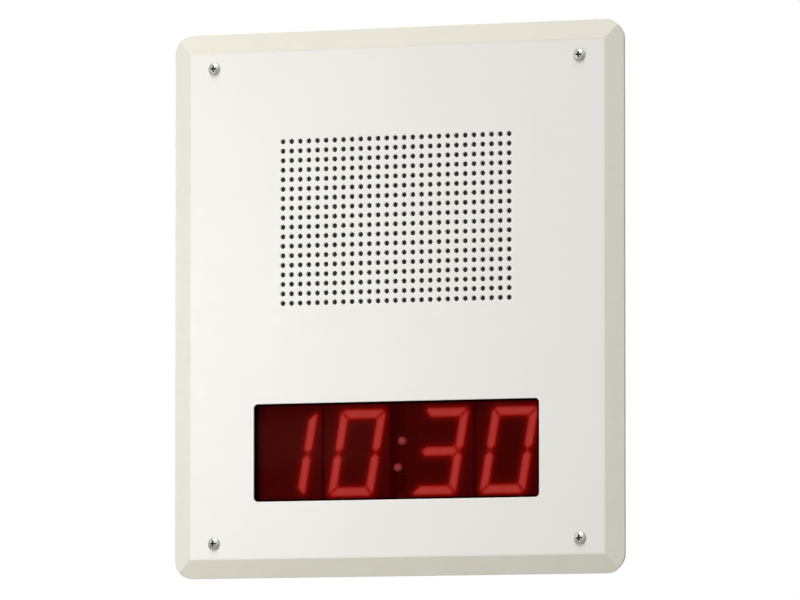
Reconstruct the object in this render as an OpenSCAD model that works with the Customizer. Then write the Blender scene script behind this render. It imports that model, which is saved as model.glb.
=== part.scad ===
// Network wall clock with a loudspeaker: a pressed steel front panel on a recessed back box.
// The front faces -Y, the wall is at +Y, +X is to the right as the clock is read, and +Z is up.
// The origin is the centre of the back box's rear face. All sizes are millimetres.
// The sizes work outward: the numerals set the window, the window and the grille set the box's
// mouth, the mouth sets the box and its screws, and the box sets the panel.

/* [Front panel] */
// How far the panel reaches past the box at each side
panel_lap_x = 24; // [21:0.1:30]
// How far the panel reaches past the box above and below
panel_lap_z = 16.6; // [15:0.1:24]
// Radius of the panel's outer corners
panel_corner_r = 13; // [8:0.5:18]
// Width of the sloped border, seen from the front
border_w = 12.7; // [10:0.1:14]
// How far the border slopes back to the wall
border_drop = 3.2; // [2.6:0.1:4]
// Outside radius of the bend between the flat face and the border
bend_r = 3; // [1:0.5:5]
// Thickness of the panel's sheet
sheet_t = 1.5; // [1.2:0.1:2]
// Clearance hole for a corner screw
panel_hole_d = 4.8; // [4.4:0.1:5.5]
// Head diameter of a corner screw
panel_screw_head_d = 8.2; // [7:0.1:9]
// Thread diameter of a corner screw
panel_screw_d = 4; // [3.5:0.1:4.2]
// Length of a corner screw under its head
panel_screw_len = 14; // [10:0.5:20]

/* [Grille] */
// Holes in one row of the grille
grille_columns = 27; // [21:2:29]
// Holes in one column of the grille
grille_rows = 18; // [14:1:18]
// Distance from one grille hole to the next
grille_pitch = 6.35; // [5.4:0.05:6.8]
// Diameter of a grille hole
grille_hole_d = 3.5; // [2:0.1:4]
// Thickness of the acoustic cloth behind the grille
cloth_t = 0.5; // [0.3:0.1:0.8]

/* [Window] */
// How far the window reaches past the upright numerals at each side
window_side = 7.3; // [6.5:0.1:9]
// How far the window reaches past the numerals above and below
window_over = 3.9; // [3:0.1:6]
// Corner radius of the display window
window_r = 2.8; // [1:0.1:5]
// Gap all round between the lens and the edge of its cut-out
lens_gap = 0.3; // [0.2:0.05:0.5]
// How far the lens sits behind the panel's face
lens_recess = 0.3; // [0.1:0.1:0.6]
// Thickness of the lens's flange behind the panel
lens_flange_t = 2; // [1.5:0.1:2.5]
// How far the lens's flange reaches past the window at each side
lens_lap_x = 10; // [9:0.1:14]
// How far the lens's flange reaches past the window above and below
lens_lap_z = 7.5; // [6:0.1:10]

/* [Digits] */
// Hours that the clock shows
hours = 10; // [0:1:23]
// Minutes that the clock shows
minutes = 30; // [0:1:59]
// Height of a numeral over its segments
numeral_h = 57.2; // [50:0.1:64]
// Width of a numeral over its segments, before it leans
numeral_w = 33; // [28:0.1:37]
// Width of one segment's stroke
stroke = 5.8; // [4:0.1:7]
// Gap between neighbouring segments
segment_gap = 0.9; // [0.4:0.1:1.4]
// Lean of the numerals, in degrees
lean = 10; // [5:0.5:11]
// Width of a digit's body past its upright numeral at each side
digit_side = 7.5; // [6.7:0.1:9]
// Height of a digit's body past its numeral above and below
digit_over = 6.4; // [5.5:0.1:8]
// Depth of one digit's body
digit_d = 12; // [10:0.5:13]
// Gap between the two digits of a pair
digit_gap = 2; // [0.5:0.1:4]
// Gap between the inner digits, where the colon stands
colon_gap = 12.4; // [11:0.1:16]
// How far the digits' centre sits below the window's centre
digit_low = 1; // [0:0.1:2]
// Diameter of a colon lamp
colon_d = 6; // [4:0.5:7]
// Height of the upper colon lamp above the digits' centre
colon_up = 7.5; // [5:0.5:10]
// Depth of the lower colon lamp below the digits' centre
colon_down = 10; // [8:0.5:13]

/* [Boards] */
// Thickness of both circuit boards
board_t = 1.6; // [1:0.1:2]
// How far a board lies inside the lens's flange at each side
board_inset_x = 0.5; // [0.3:0.1:1]
// How far a board lies inside the lens's flange above and below
board_inset_z = 1.5; // [0.5:0.1:2]
// Distance from a board's edge to its fixing holes
board_hole_edge = 4.5; // [4:0.1:5]
// Clear distance between the lens and the digits
lens_clear = 1.2; // [0.8:0.1:1.6]
// Distance between the two boards
board_gap = 11; // [9.9:0.1:13]
// Diameter of the display studs
display_stud_d = 3; // [2.5:0.5:3.5]

/* [Loudspeaker] */
// Radius of the cone at its rim
cone_r = 46; // [41:0.5:50]
// Radius of the voice coil's former
coil_r = 9.2; // [8:0.1:10]
// Radius of the magnet ring
magnet_r = 35; // [32:0.5:38]
// Thickness of the magnet ring
magnet_t = 9; // [7:0.5:10]
// Thickness of the speaker's front pole plate
pole_plate_t = 5; // [4:0.5:6]
// Travel of the cone each way
cone_travel = 2; // [1:0.25:2.5]
// Depth of the speaker from its flange to its back
speaker_depth = 45.5; // [41:0.5:52]
// Distance from the surround's ledge out to the speaker's screws
speaker_screw_out = 6.7; // [6.2:0.1:9]
// Distance from the speaker's screws out to the edge of its flange
speaker_edge = 5.7; // [5:0.1:8]
// Thickness of the speaker's foam ring
foam_t = 1.5; // [1:0.1:2]
// Thickness of the speaker's baffle plate
baffle_t = 1.5; // [1.2:0.1:2]

/* [Back box] */
// Clear width between the display and the flange round the box's mouth
mouth_side = 13; // [11:0.1:20]
// Clear height below the display, down to the flange
mouth_below = 13.6; // [11:0.1:20]
// Clear height above the speaker's baffle, up to the flange
mouth_above = 31; // [27:0.1:40]
// Clear height between the display and the baffle, where the network cable bends
middle_gap = 46.2; // [41:0.1:60]
// Clear depth behind the speaker
rear_gap = 2.7; // [2:0.1:12]
// Thickness of the back box's sheet
box_t = 1.5; // [1.2:0.1:2]
// Distance from a corner screw to the box's outer face
screw_edge = 6.65; // [6:0.05:8]
// Width of the flange round the box's mouth
flange_w = 13; // [12:0.1:15]
// Distance across between the box's wall fixing holes
fixing_span_x = 203.2; // [180:0.1:224]
// Distance up between the box's wall fixing holes
fixing_span_z = 254; // [228:0.1:280]
// Diameter of the box's wall fixing holes
fixing_d = 5.5; // [4.5:0.1:6.5]
// Diameter of a knockout
knockout_d = 22.2; // [20:0.1:25]
// Distance of the knockouts from the box's centre line
knockout_x = 90; // [80:1:100]
// Bore of the cable grommet
grommet_bore_d = 12; // [8:0.5:14]

/* [Hidden] */
$fn = 64;
fit_gap = 0.05; // radial gap of a screw in its thread, and of a stud in its nut
slip_gap = 0.1; // radial gap of a piece that slides
clear_gap = 0.3; // gap of a loose hole round what passes through it
cut = 1; // how far a cutter reaches past what it cuts

// Parts on the boards: width, length and height. Places are across and up from a board's centre
edge_cut = 0.4; // chamfer of a moulded edge
jack_w = 16;
jack_l = 21.3;
jack_h = 13.4;
jack_x = -80;
jack_over = 2; // how far the jack reaches past the board's upper edge
port_w = 11.8;
port_h = 6.8;
port_l = 14;
port_low = 3; // height of the port above the board
latch_steps = [[6.4, 1.6], [3.4, 2.8]]; // widths and heights of the notch for the plug's latch
contact_wire = 0.5;
contact_pitch = 1.02;
contact_l = 9;
contact_rise = 2.6;
lamp_d = 3;
lamp_base_h = 1;
lamp_h = 4;
line_chip = [12.7, 16.5, 6];
line_at = [-84, -10];
line_leads = 10; // leads at one side of a chip
core = [20, 15, 12]; // the power transformer's ferrite core
core_at = [-48, 18];
core_leg = 3;
core_low = 1; // height of the core's underside above the board
core_base = 2.5;
bobbin = [22, 21, 2];
winding_out = 2.5; // how far the windings reach past each end of the core
winding_gap = 0.5;
winding_round = 1.5;
inductor = [10, 10, 3];
inductor_top = [8.4, 4];
inductor_cut = 1;
inductor_at = [[-20, 22], [-64, -26]];
can_r = 5;
can_h = 16;
can_foot = 1.8; // height of a can's groove
can_bead = 0.5; // depth of a can's crimped groove, and the height of its slopes
can_round = 0.6;
can_dish = 0.4;
can_score = [6, 0.4];
can_at = [[-3, 24], [9, 4], [-8, 4]];
processor = [20, 20, 1.6];
processor_at = [52, 8];
processor_leads = 18;
memory = [7.6, 12.8, 2.3];
memory_at = [[40, -20], [64, -20]];
memory_leads = 9;
amplifier = [11, 16, 2.4];
amplifier_at = [-30, -22];
amplifier_leads = 11;
heat_sink_out = 2; // how far the heat sink reaches past the amplifier at each side
heat_sink_h = 8;
fin_t = 1;
sink_base_t = 1.6;
crystal = [11, 4.6, 3.6];
crystal_at = [74, 22];
driver_chip = [7.5, 17.9, 2.5];
driver_x = 52;
driver_leads = 14;
lead_reach = 1.3; // how far a chip's leads stand out
lead_t = 0.3;
lead_w = 0.45;
lead_root = 0.2; // how far a lead is cast into its chip
chip_pitch = 1.27;
fine_pitch = 1;
header_w = 7.5; // the speaker's header and plug
header_l = 5;
plug_h = 6;
plug_l = 8;
plug_x = 22;
plug_step = 0.4; // how far the plug's nose is drawn in
link_w = 20.3;
link_l = 5;
link_header_h = 2.5;
link_at = [0, -28];
link_hole_d = 0.9;
link_hole_l = 6;
reset_w = 6;
reset_h = 3.5;
reset_d = 3.4;
reset_up = 1.6; // how far the button stands out of its body
reset_floor = 0.6;
reset_travel = 0.3;
reset_at = [88, -20];
reset_foot = [1.6, 0.7, 0.6];

// Numerals: the segments of 0 to 9, and those that this time lights
segments_of = ["abcdef", "bc", "abged", "abgcd", "fgbc", "afgcd", "afgedc", "abc", "abcdefg", "abcdfg"];
shown = [floor(hours / 10), hours % 10, floor(minutes / 10), minutes % 10];
half_w = numeral_w / 2;
half_h = numeral_h / 2;
corner_cut = 3; // how much of a numeral's outer corner is cut off
segment_t = 2; // depth of the cast segments
point_d = 4.6; // the decimal point
point_x = half_w + segment_gap + point_d / 2;
colon_heights = [colon_up, -colon_down];

// Digits, the window and the boards, across and up
digit_w = numeral_w + 2 * digit_side;
digit_h = numeral_h + 2 * digit_over;
digit_pitch = digit_w + digit_gap;
colon_pitch = digit_w + colon_gap;
digit_x = [for (side = [-1, 1], place = [1, 0])
    side * (colon_pitch / 2 + digit_pitch * (side < 0 ? place : 1 - place))];
pin_d = 0.6;
pin_pitch = 2.54;
pins_a_row = 5;
pin_edge = 4.5; // from a digit's edge to its row of pins
pin_row = digit_h / 2 - pin_edge;
pin_tail = 1.6; // how far a pin stands out behind its board
window_w = colon_pitch + 2 * digit_pitch + numeral_w + 2 * window_side;
window_h = numeral_h + 2 * window_over;
lens_flange_w = window_w + 2 * lens_lap_x;
lens_flange_h = window_h + 2 * lens_lap_z;
board_w = lens_flange_w - 2 * board_inset_x;
board_h = lens_flange_h - 2 * board_inset_z;
lens_corner_r = 3;
board_corner_r = 2;
stud_x = board_w / 2 - board_hole_edge;
stud_z = board_h / 2 - board_hole_edge;
spacer_wall = 1.5;
spacer_d = display_stud_d + 2 * spacer_wall;
standoff_wall = 1.3;
standoff_flats = display_stud_d + 2 * standoff_wall;
stud_grip = 4.4; // how far a stud reaches into its standoff
board_screw_len = board_t + stud_grip;
board_head_d = display_stud_d + 2 * standoff_wall;
board_head_h = 2;

// Loudspeaker, across
roll_r = 2; // radius of the surround's roll
lip_w = 2.5; // width of the surround's glued lips
skin_t = 0.5; // thickness of the surround, spider and dust cap
spider_flat = 1.5; // width of the spider's glued inner ring
ledge_w = 4.1; // width of the ledge that the surround is glued to
ledge_out_r = cone_r + 2 * roll_r + ledge_w - skin_t;
ledge_in_r = ledge_out_r - ledge_w;
ledge_gap = 1.5;
foam_in_r = ledge_out_r + ledge_gap;
speaker_screw_r = ledge_out_r + speaker_screw_out;
speaker_r = speaker_screw_r + speaker_edge;
speaker_screw_d = 4;
speaker_head_d = 8;
speaker_head_h = 2.2;
basket_t = 1;
pole_step = 5; // how far the magnet reaches past its pole plates
pole_edge = 0.8; // chamfer of the magnet and its poles
pole_plate_r = magnet_r - pole_step;
basket_seat_w = 4.5; // ring of the pole plate that the basket is staked to
spider_r = pole_plate_r - basket_seat_w; // inner edge of the spider's ledge
spider_ledge_w = 4.5;
basket_in_r = spider_r + spider_ledge_w;
basket_wall = 0.8;
cap_r = 14;
cap_rise = 4;
window_arc = 19; // half the angle of one basket window
basket_windows = 6;
window_frame = 0.6; // metal left beyond each end of a basket window
former_t = 0.2;
former_r = coil_r + former_t;
winding_t = 0.5;
winding_len = pole_plate_t + 1.5 * cone_travel; // so the coil stays in the gap as it moves
coil_air = 0.4; // air on each side of the coil
pole_r = coil_r - coil_air;
gap_r = former_r + winding_t + coil_air; // radius of the hole in the pole plate
seat_in_r = gap_r + 3; // hole in the basket's floor
magnet_bore_r = gap_r + 4;
paper_t = 0.6;
tab_w = 16; // the basket's tab for its terminals
tab_l = 12.5;
tab_root = 0.5; // how far the tab is joined under the spider's ledge
tab_in = basket_in_r - tab_root;
tab_out = tab_in + tab_l;
strip_l = 8;
strip_t = 1;
lug_x = 4.5;
lug_w = 3;
lug_l = 9;
lug_t = 0.8;
lug_past = 4; // how far a lug reaches past the tab
lug_out = tab_out + lug_past;

// Baffle
grille_w = (grille_columns - 1) * grille_pitch;
grille_h = (grille_rows - 1) * grille_pitch;
baffle_edge = 7; // from a baffle stud to the baffle's edge
baffle_stud_gap = 5.5; // from the outer grille holes to a baffle stud
baffle_rim = 1; // baffle left past the speaker, above and below
baffle_w = 2 * (max(grille_w / 2, speaker_r) + baffle_stud_gap + baffle_edge);
baffle_h = 2 * max(grille_h / 2 + baffle_stud_gap + baffle_edge, speaker_r + baffle_rim);
baffle_corner_r = 3;
baffle_stud_d = 4;
nut_flange_t = 1;
nut_flange_d = 9.6;
nut_flats = 7;
nut_h = 3.2;
stud_spare = 2.3; // thread left past a nut
baffle_stud_len = cloth_t + baffle_t + nut_flange_t + nut_h + stud_spare;

// Box and panel, across and up
mouth_w = max(lens_flange_w, baffle_w) + 2 * mouth_side;
mouth_h = mouth_below + lens_flange_h + middle_gap + baffle_h + mouth_above;
window_z = mouth_below + lens_flange_h / 2 - mouth_h / 2;
grille_z = mouth_h / 2 - mouth_above - baffle_h / 2;
digit_z = window_z - digit_low;
box_w = mouth_w + 2 * flange_w;
box_h = mouth_h + 2 * flange_w;
screw_span_x = box_w - 2 * screw_edge;
screw_span_z = box_h - 2 * screw_edge;
panel_w = box_w + 2 * panel_lap_x;
panel_h = box_h + 2 * panel_lap_z;
strip_inset = 0.5; // how far the sealing strip lies inside the flange's outer edge
bend_in_r = box_t;
bend_out_r = bend_in_r + box_t;

// Depths, from the wall forward: the deeper of the speaker and the boards sets the box's depth
speaker_stack = cloth_t + baffle_t + foam_t + speaker_depth;
board_stack = lens_flange_t + lens_clear + digit_d + 2 * board_t + board_gap + can_h;
box_d = max(speaker_stack, board_stack) - border_drop + rear_gap + box_t;
mouth_y = -box_d; // the box's flange, flush with the wall's surface
panel_back_y = mouth_y - border_drop;
panel_front_y = panel_back_y - sheet_t;
lens_back_y = panel_back_y + lens_flange_t;
digit_front_y = lens_back_y + lens_clear;
digit_back_y = digit_front_y + digit_d;
display_back_y = digit_back_y + board_t;
main_front_y = display_back_y + board_gap;
main_back_y = main_front_y + board_t;
baffle_front_y = panel_back_y + cloth_t;
baffle_back_y = baffle_front_y + baffle_t;
speaker_y = baffle_back_y + foam_t; // the speaker flange's front face
ledge_step = 1.5; // how far the surround's ledge lies behind the flange
rim_y = speaker_y + ledge_step; // back of the cone's flat rim
surround_y = rim_y - skin_t / 2; // middle of the surround's lips
yoke_t = 3;
yoke_back_y = speaker_y + speaker_depth;
yoke_front_y = yoke_back_y - yoke_t;
magnet_front_y = yoke_front_y - magnet_t;
plate_front_y = magnet_front_y - pole_plate_t;
spider_drop = 5; // from the spider's ledge back to the pole plate
neck_drop = 3; // from the cone's neck back to the spider's ledge
spider_y = plate_front_y - spider_drop; // front face of the spider's ledge
neck_y = spider_y - neck_drop; // where the cone meets the former
former_up = 1; // how far the former stands in front of the cone's neck
coil_back_y = plate_front_y + (pole_plate_t + winding_len) / 2;
lug_y = spider_y + basket_t + strip_t + lug_t / 2; // middle of the lugs

// Knockouts, the grommet and the earthing screw
knockout_slot = 0.4; // width of the sheared line round a knockout
knockout_tab = 3; // width of each of the two tabs that hold it
knockout_y = -box_d / 2;
entry_x = -knockout_x; // the open knockout, in the upper end
grommet_lip = 2.6; // how far the grommet's lips reach past its hole
grommet_lip_t = 2.4;
grommet_round = 0.8;
earth_x = 60; // the earthing screw, in the lower end
earth_screw_d = 4;
earth_washer_t = 0.8;
earth_head_h = 3.6;
earth_out = 3; // how far the earthing screw stands out under the box
earth_slot = [1, 1]; // width and depth of its slot

// Corner nuts, riveted into the flange
nut_shank_wall = 1.2;
nut_lip_w = 1.2;
nut_shank_d = panel_screw_d + 2 * nut_shank_wall;
nut_lip_d = nut_shank_d + 2 * nut_lip_w;
nut_lip_t = 0.8;
nut_len = 11;
nut_bulge = 0.8;
nut_bulge_l = 3;

// Speaker leads, from the lugs down to the plug
jack_at = [jack_x, board_h / 2 - jack_l / 2 + jack_over];
header_at = [plug_x, board_h / 2 - header_l / 2];
wire_d = 1.6;
wire_rings = 24;
wire_sides = 8;
wire_pitch = 3.4;
wire_ease = 18; // how far a lead runs straight before it bends
plug_top_z = window_z + header_at[1] + header_l / 2 + plug_l;

// Shared shapes

// A flat outline, drawn in X and Z, made solid from y0 back to y1
module slab(y0, y1) {
    translate([0, y1, 0]) rotate([90, 0, 0]) linear_extrude(height = y1 - y0) children();
}

// A rectangle with round corners
module plate(w, h, r) {
    square([w - 2 * r, h], center = true);
    square([w, h - 2 * r], center = true);
    corners(w - 2 * r, h - 2 * r) circle(r = r);
}

// The same outline at each corner of a rectangle
module corners(w, h) {
    for (side = [-1, 1], up = [-1, 1]) translate([side * w / 2, up * h / 2]) children();
}

// The same solid at each corner of an upright rectangle
module upright_corners(w, h) {
    for (side = [-1, 1], up = [-1, 1]) translate([side * w / 2, 0, up * h / 2]) children();
}

// A profile of radius and Y turned round the speaker's axis
module turned() {
    translate([0, 0, grille_z]) rotate([-90, 0, 0]) rotate_extrude() children();
}

function arc(x, y, r, a0, a1, steps) =
    [for (i = [0:steps]) let (a = a0 + (a1 - a0) * i / steps) [x + r * cos(a), y + r * sin(a)]];
function mirrored(points) = [for (i = [len(points) - 1:-1:0]) [-points[i][0], points[i][1]]];
function leaned(points) = [for (p = points) [p[0] + p[1] * tan(lean), p[1]]];

// Puts a piece on the rear of the main board: its Z is its height, and its Y points up the wall
module on_main(at) {
    translate([at[0], main_back_y, window_z + at[1]]) rotate([90, 0, 180]) children();
}

// Puts a piece on the rear of the display board in the same way
module on_display(at) {
    translate([at[0], display_back_y, window_z + at[1]]) rotate([90, 0, 180]) children();
}

// A box standing on its board, with its upper edges chamfered
module block(size, chamfer = 0) {
    w = size[0];
    l = size[1];
    h = size[2];
    intersection() {
        translate([-w / 2, -l / 2, 0]) cube(size);
        rotate([90, 0, 0]) linear_extrude(height = l + 2 * cut, center = true) polygon([
            [-w / 2, 0], [w / 2, 0], [w / 2, h - chamfer],
            [w / 2 - chamfer, h], [-w / 2 + chamfer, h], [-w / 2, h - chamfer]]);
    }
}

// A chip with a row of bent leads along two sides, or along all four
module chip(size, leads, sides = 2, pitch = chip_pitch) {
    lead_y = size[2] / 2; // height at which a lead leaves the chip
    bend_x = lead_reach / 2;
    translate([0, 0, lead_t / 2]) block(size - [0, 0, lead_t / 2], edge_cut);
    for (turn = [0:360 / sides:359]) rotate([0, 0, turn]) for (i = [0:leads - 1])
        translate([size[0] / 2, (i - (leads - 1) / 2) * pitch + lead_w / 2, 0]) rotate([90, 0, 0])
            linear_extrude(height = lead_w) polygon([
                [-lead_root, lead_y], [bend_x - lead_t, lead_y], [bend_x - lead_t, 0],
                [lead_reach, 0], [lead_reach, lead_t], [bend_x, lead_t],
                [bend_x, lead_y + lead_t], [-lead_root, lead_y + lead_t]]);
}

// A pan head screw with a cross recess: its head seats at y, and its shank points along way
module screw(y, len, shank_d, head_d, head_h, way = 1) {
    crown = head_h * 0.55;
    crown_r = (pow(head_d / 2, 2) + pow(crown, 2)) / (2 * crown);
    recess = head_d * 0.56;
    translate([0, y, 0]) rotate([-90 * way, 0, 0]) difference() {
        union() {
            cylinder(d = shank_d, h = len);
            rotate([180, 0, 0]) rotate_extrude() intersection() {
                square([head_d / 2, head_h]);
                translate([0, head_h - crown_r]) circle(r = crown_r);
            }
        }
        translate([0, 0, -head_h - cut]) linear_extrude(height = cut + head_h * 0.6)
            for (turn = [0, 90]) rotate(turn) square([recess, recess / 4], center = true);
    }
}

// Front panel

// The panel's outline in depth, across a span, with the bend at each side as an arc
function dish_profile(span, front_y) =
    let (slope = atan(border_drop / border_w),
         run = span / 2 - border_w - bend_r * tan(slope / 2),
         side = concat([[span / 2, mouth_y + cut], [span / 2, front_y + border_drop]],
             arc(run, front_y + bend_r, bend_r, slope - 90, -90, 4)))
    concat(side, mirrored(side));

// The solid under the panel's face: two extruded profiles crossed inside the rounded outline
module dish(front_y) {
    intersection() {
        slab(front_y - cut, mouth_y + cut) plate(panel_w, panel_h, panel_corner_r);
        linear_extrude(height = panel_h + 2 * cut, center = true)
            polygon(dish_profile(panel_w, front_y));
        rotate([0, 90, 0]) linear_extrude(height = panel_w + 2 * cut, center = true)
            polygon(dish_profile(panel_h, front_y));
    }
}

module grille_holes() {
    for (column = [0:grille_columns - 1], row = [0:grille_rows - 1])
        translate([column * grille_pitch - grille_w / 2, grille_z + row * grille_pitch - grille_h / 2])
            circle(d = grille_hole_d, $fn = 24);
}

module front_panel() {
    color("ivory") difference() {
        intersection() {
            dish(panel_front_y);
            slab(panel_front_y - cut, mouth_y) square([panel_w + cut, panel_h + cut], center = true);
        }
        dish(panel_back_y);
        slab(panel_front_y - cut, panel_back_y + cut) {
            translate([0, window_z]) plate(window_w, window_h, window_r);
            corners(screw_span_x, screw_span_z) circle(d = panel_hole_d);
            grille_holes();
        }
    }
}

module panel_screws() {
    color("dimgray") upright_corners(screw_span_x, screw_span_z)
        screw(panel_front_y, panel_screw_len, panel_screw_d - 2 * fit_gap,
            panel_screw_head_d, panel_screw_head_d * 0.3);
}

module sealing_strip() {
    color("black") slab(panel_back_y, mouth_y) difference() {
        square([box_w - 2 * strip_inset, box_h - 2 * strip_inset], center = true);
        square([mouth_w, mouth_h], center = true);
        corners(screw_span_x, screw_span_z) circle(d = nut_lip_d + 2 * clear_gap);
    }
}

module at_baffle_studs() {
    corners(baffle_w - 2 * baffle_edge, baffle_h - 2 * baffle_edge) children();
}

module at_board_studs() {
    corners(2 * stud_x, 2 * stud_z) children();
}

// Weld studs on the panel's back: four for the baffle and four for the display
module panel_studs() {
    color("silver") {
        slab(panel_back_y, panel_back_y + baffle_stud_len) translate([0, grille_z])
            at_baffle_studs() circle(d = baffle_stud_d);
        slab(panel_back_y, display_back_y + stud_grip) translate([0, window_z])
            at_board_studs() circle(d = display_stud_d);
    }
}

// Display window and digits

module display_lens() {
    color("darkred") {
        slab(panel_front_y + lens_recess, panel_back_y) translate([0, window_z])
            plate(window_w - 2 * lens_gap, window_h - 2 * lens_gap, window_r - lens_gap);
        slab(panel_back_y, lens_back_y) translate([0, window_z]) difference() {
            plate(lens_flange_w, lens_flange_h, lens_corner_r);
            at_board_studs() circle(d = display_stud_d + 2 * clear_gap);
        }
    }
}

module lens_spacers() {
    color("white") slab(lens_back_y, digit_back_y) translate([0, window_z]) at_board_studs()
        difference() {
            circle(d = spacer_d);
            circle(d = display_stud_d + 2 * slip_gap);
        }
}

// The outer bar along the top of a numeral, and the bar down its upper right side
function top_bar() =
    let (side = [[half_w - stroke - segment_gap / 2, half_h - stroke],
        [half_w - corner_cut / 2 - segment_gap / 2, half_h - corner_cut / 2],
        [half_w - corner_cut, half_h]])
    concat(side, mirrored(side));
function side_bar() =
    [[half_w, stroke / 2 + segment_gap / 2], [half_w, half_h - corner_cut],
     [half_w - corner_cut / 2, half_h - corner_cut / 2 - segment_gap / 2],
     [half_w - stroke, half_h - stroke - segment_gap / 2],
     [half_w - stroke, stroke / 2 + segment_gap / 2], [half_w - stroke / 2, segment_gap / 2]];
function middle_bar() =
    let (side = [[half_w - stroke - segment_gap / 2, -stroke / 2],
        [half_w - stroke / 2 - segment_gap / 2, 0],
        [half_w - stroke - segment_gap / 2, stroke / 2]])
    concat(side, mirrored(side));
function flipped(points, x, y) = [for (p = points) [p[0] * x, p[1] * y]];
function segment(name) =
    name == "a" ? top_bar() : name == "d" ? flipped(top_bar(), 1, -1) :
    name == "b" ? side_bar() : name == "c" ? flipped(side_bar(), 1, -1) :
    name == "e" ? flipped(side_bar(), -1, -1) : name == "f" ? flipped(side_bar(), -1, 1) :
    middle_bar();
function is_lit(name, numeral) = len([for (s = segments_of[numeral]) if (s == name) s]) > 0;

// The segments of one digit: all of them, or only those that are lit or unlit
module segments(place, wanted) {
    for (name = "abcdefg") if (wanted == "all" || is_lit(name, shown[place]) == (wanted == "lit"))
        polygon(leaned(segment(name)));
    if (wanted != "lit") translate(leaned([[point_x, point_d / 2 - half_h]])[0]) circle(d = point_d);
}

module digit_body(place) {
    color("dimgray") difference() {
        slab(digit_front_y, digit_back_y) translate([digit_x[place], digit_z])
            square([digit_w, digit_h], center = true);
        slab(digit_front_y - cut, digit_front_y + segment_t) translate([digit_x[place], digit_z])
            segments(place, "all");
    }
}

module hour_tens_digit() { digit_body(0); }
module hour_units_digit() { digit_body(1); }
module minute_tens_digit() { digit_body(2); }
module minute_units_digit() { digit_body(3); }

module cast_segments(wanted) {
    for (place = [0:3]) slab(digit_front_y, digit_front_y + segment_t)
        translate([digit_x[place], digit_z]) segments(place, wanted);
}

module lit_segments() { color("red") cast_segments("lit"); }
module unlit_segments() { color("maroon") cast_segments("unlit"); }

module pin_places() {
    for (place = [0:3], row = [-1, 1], i = [0:pins_a_row - 1])
        translate([digit_x[place] + (i - (pins_a_row - 1) / 2) * pin_pitch, digit_z + row * pin_row])
            children();
}

module digit_pins() {
    color("silver") slab(digit_back_y, display_back_y + pin_tail) pin_places() circle(d = pin_d);
}

module colon_holder() {
    rim = 2.5;
    side_gap = 1;
    sunk = 4; // how far the holder's face lies behind the digits' faces
    color("black") slab(digit_front_y + sunk, digit_back_y) difference() {
        translate([0, digit_z + (colon_up - colon_down) / 2])
            square([colon_gap - 2 * side_gap, colon_up + colon_down + colon_d + 2 * rim], center = true);
        for (up = colon_heights) translate([up * tan(lean), digit_z + up])
            circle(d = colon_d + 2 * slip_gap);
    }
}

module colon_lamps() {
    dome_y = digit_front_y + colon_d / 2;
    color("hotpink") for (up = colon_heights)
        translate([up * tan(lean), dome_y, digit_z + up]) rotate([-90, 0, 0]) {
            cylinder(d = colon_d, h = digit_back_y - dome_y);
            intersection() {
                sphere(d = colon_d);
                translate([0, 0, -colon_d / 2]) cylinder(d = 2 * colon_d, h = colon_d / 2);
            }
        }
}

// Boards

module board() {
    translate([0, window_z]) difference() {
        plate(board_w, board_h, board_corner_r);
        at_board_studs() circle(d = display_stud_d + 2 * slip_gap);
    }
}

module display_board() {
    color("darkgreen") slab(digit_back_y, display_back_y) difference() {
        board();
        pin_places() circle(d = pin_d + 2 * slip_gap, $fn = 16);
    }
}

module driver_chips() {
    color("black") for (side = [-1, 1]) on_display([side * driver_x, 0]) rotate([0, 0, 90])
        chip(driver_chip, driver_leads);
}

module link_header() {
    color("black") on_display(link_at) block([link_w, link_l, link_header_h], edge_cut);
}

module link_socket() {
    contacts_a_row = 8;
    color("black") on_display(link_at) translate([0, 0, link_header_h]) difference() {
        block([link_w, link_l, board_gap - link_header_h]);
        for (i = [0:contacts_a_row - 1], row = [-1, 1])
            translate([(i - (contacts_a_row - 1) / 2) * pin_pitch, row * pin_pitch / 2, -cut])
                cylinder(d = link_hole_d, h = cut + link_hole_l, $fn = 16);
    }
}

module board_standoffs() {
    color("silver") slab(display_back_y, main_front_y) translate([0, window_z]) at_board_studs()
        difference() {
            circle(d = standoff_flats / cos(30), $fn = 6);
            circle(d = display_stud_d + 2 * fit_gap);
        }
}

module board_screws() {
    color("silver") translate([0, 0, window_z]) upright_corners(2 * stud_x, 2 * stud_z)
        screw(main_back_y, board_screw_len, display_stud_d - 2 * fit_gap, board_head_d,
            board_head_h, -1);
}

module main_board() {
    color("darkgreen") slab(main_front_y, main_back_y) board();
}

// The jack's port opens at the board's upper edge, with a stepped notch for the plug's latch
module network_jack() {
    color("silver") on_main(jack_at) difference() {
        block([jack_w, jack_l, jack_h], edge_cut);
        translate([0, jack_l / 2 + cut, port_low]) rotate([90, 0, 0])
            linear_extrude(height = port_l + cut) {
                translate([-port_w / 2, 0]) square([port_w, port_h]);
                for (step = latch_steps) translate([-step[0] / 2, 0]) square([step[0], port_h + step[1]]);
            }
    }
}

module jack_contacts() {
    contacts = 8;
    up = 0.4;
    wire = [[0, 0], [contact_l, contact_rise], [contact_l, contact_rise + contact_wire],
        [0, contact_wire]];
    color("gold") on_main(jack_at) for (i = [0:contacts - 1])
        translate([(i - (contacts - 1) / 2) * contact_pitch - contact_wire / 2,
            jack_l / 2 - port_l, port_low + up])
            rotate([90, 0, 90]) linear_extrude(height = contact_wire) polygon(wire);
}

module status_lamps() {
    rim = 0.4;
    color("lime") for (side = [-1, 1])
        on_main([jack_x + side * (jack_w / 2 + lamp_d), board_h / 2 - lamp_d]) {
            cylinder(d = lamp_d + 2 * rim, h = lamp_base_h);
            cylinder(d = lamp_d, h = lamp_h);
            translate([0, 0, lamp_h]) sphere(d = lamp_d);
        }
}

module line_transformer() {
    color("black") on_main(line_at) chip(line_chip, line_leads);
}

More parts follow.
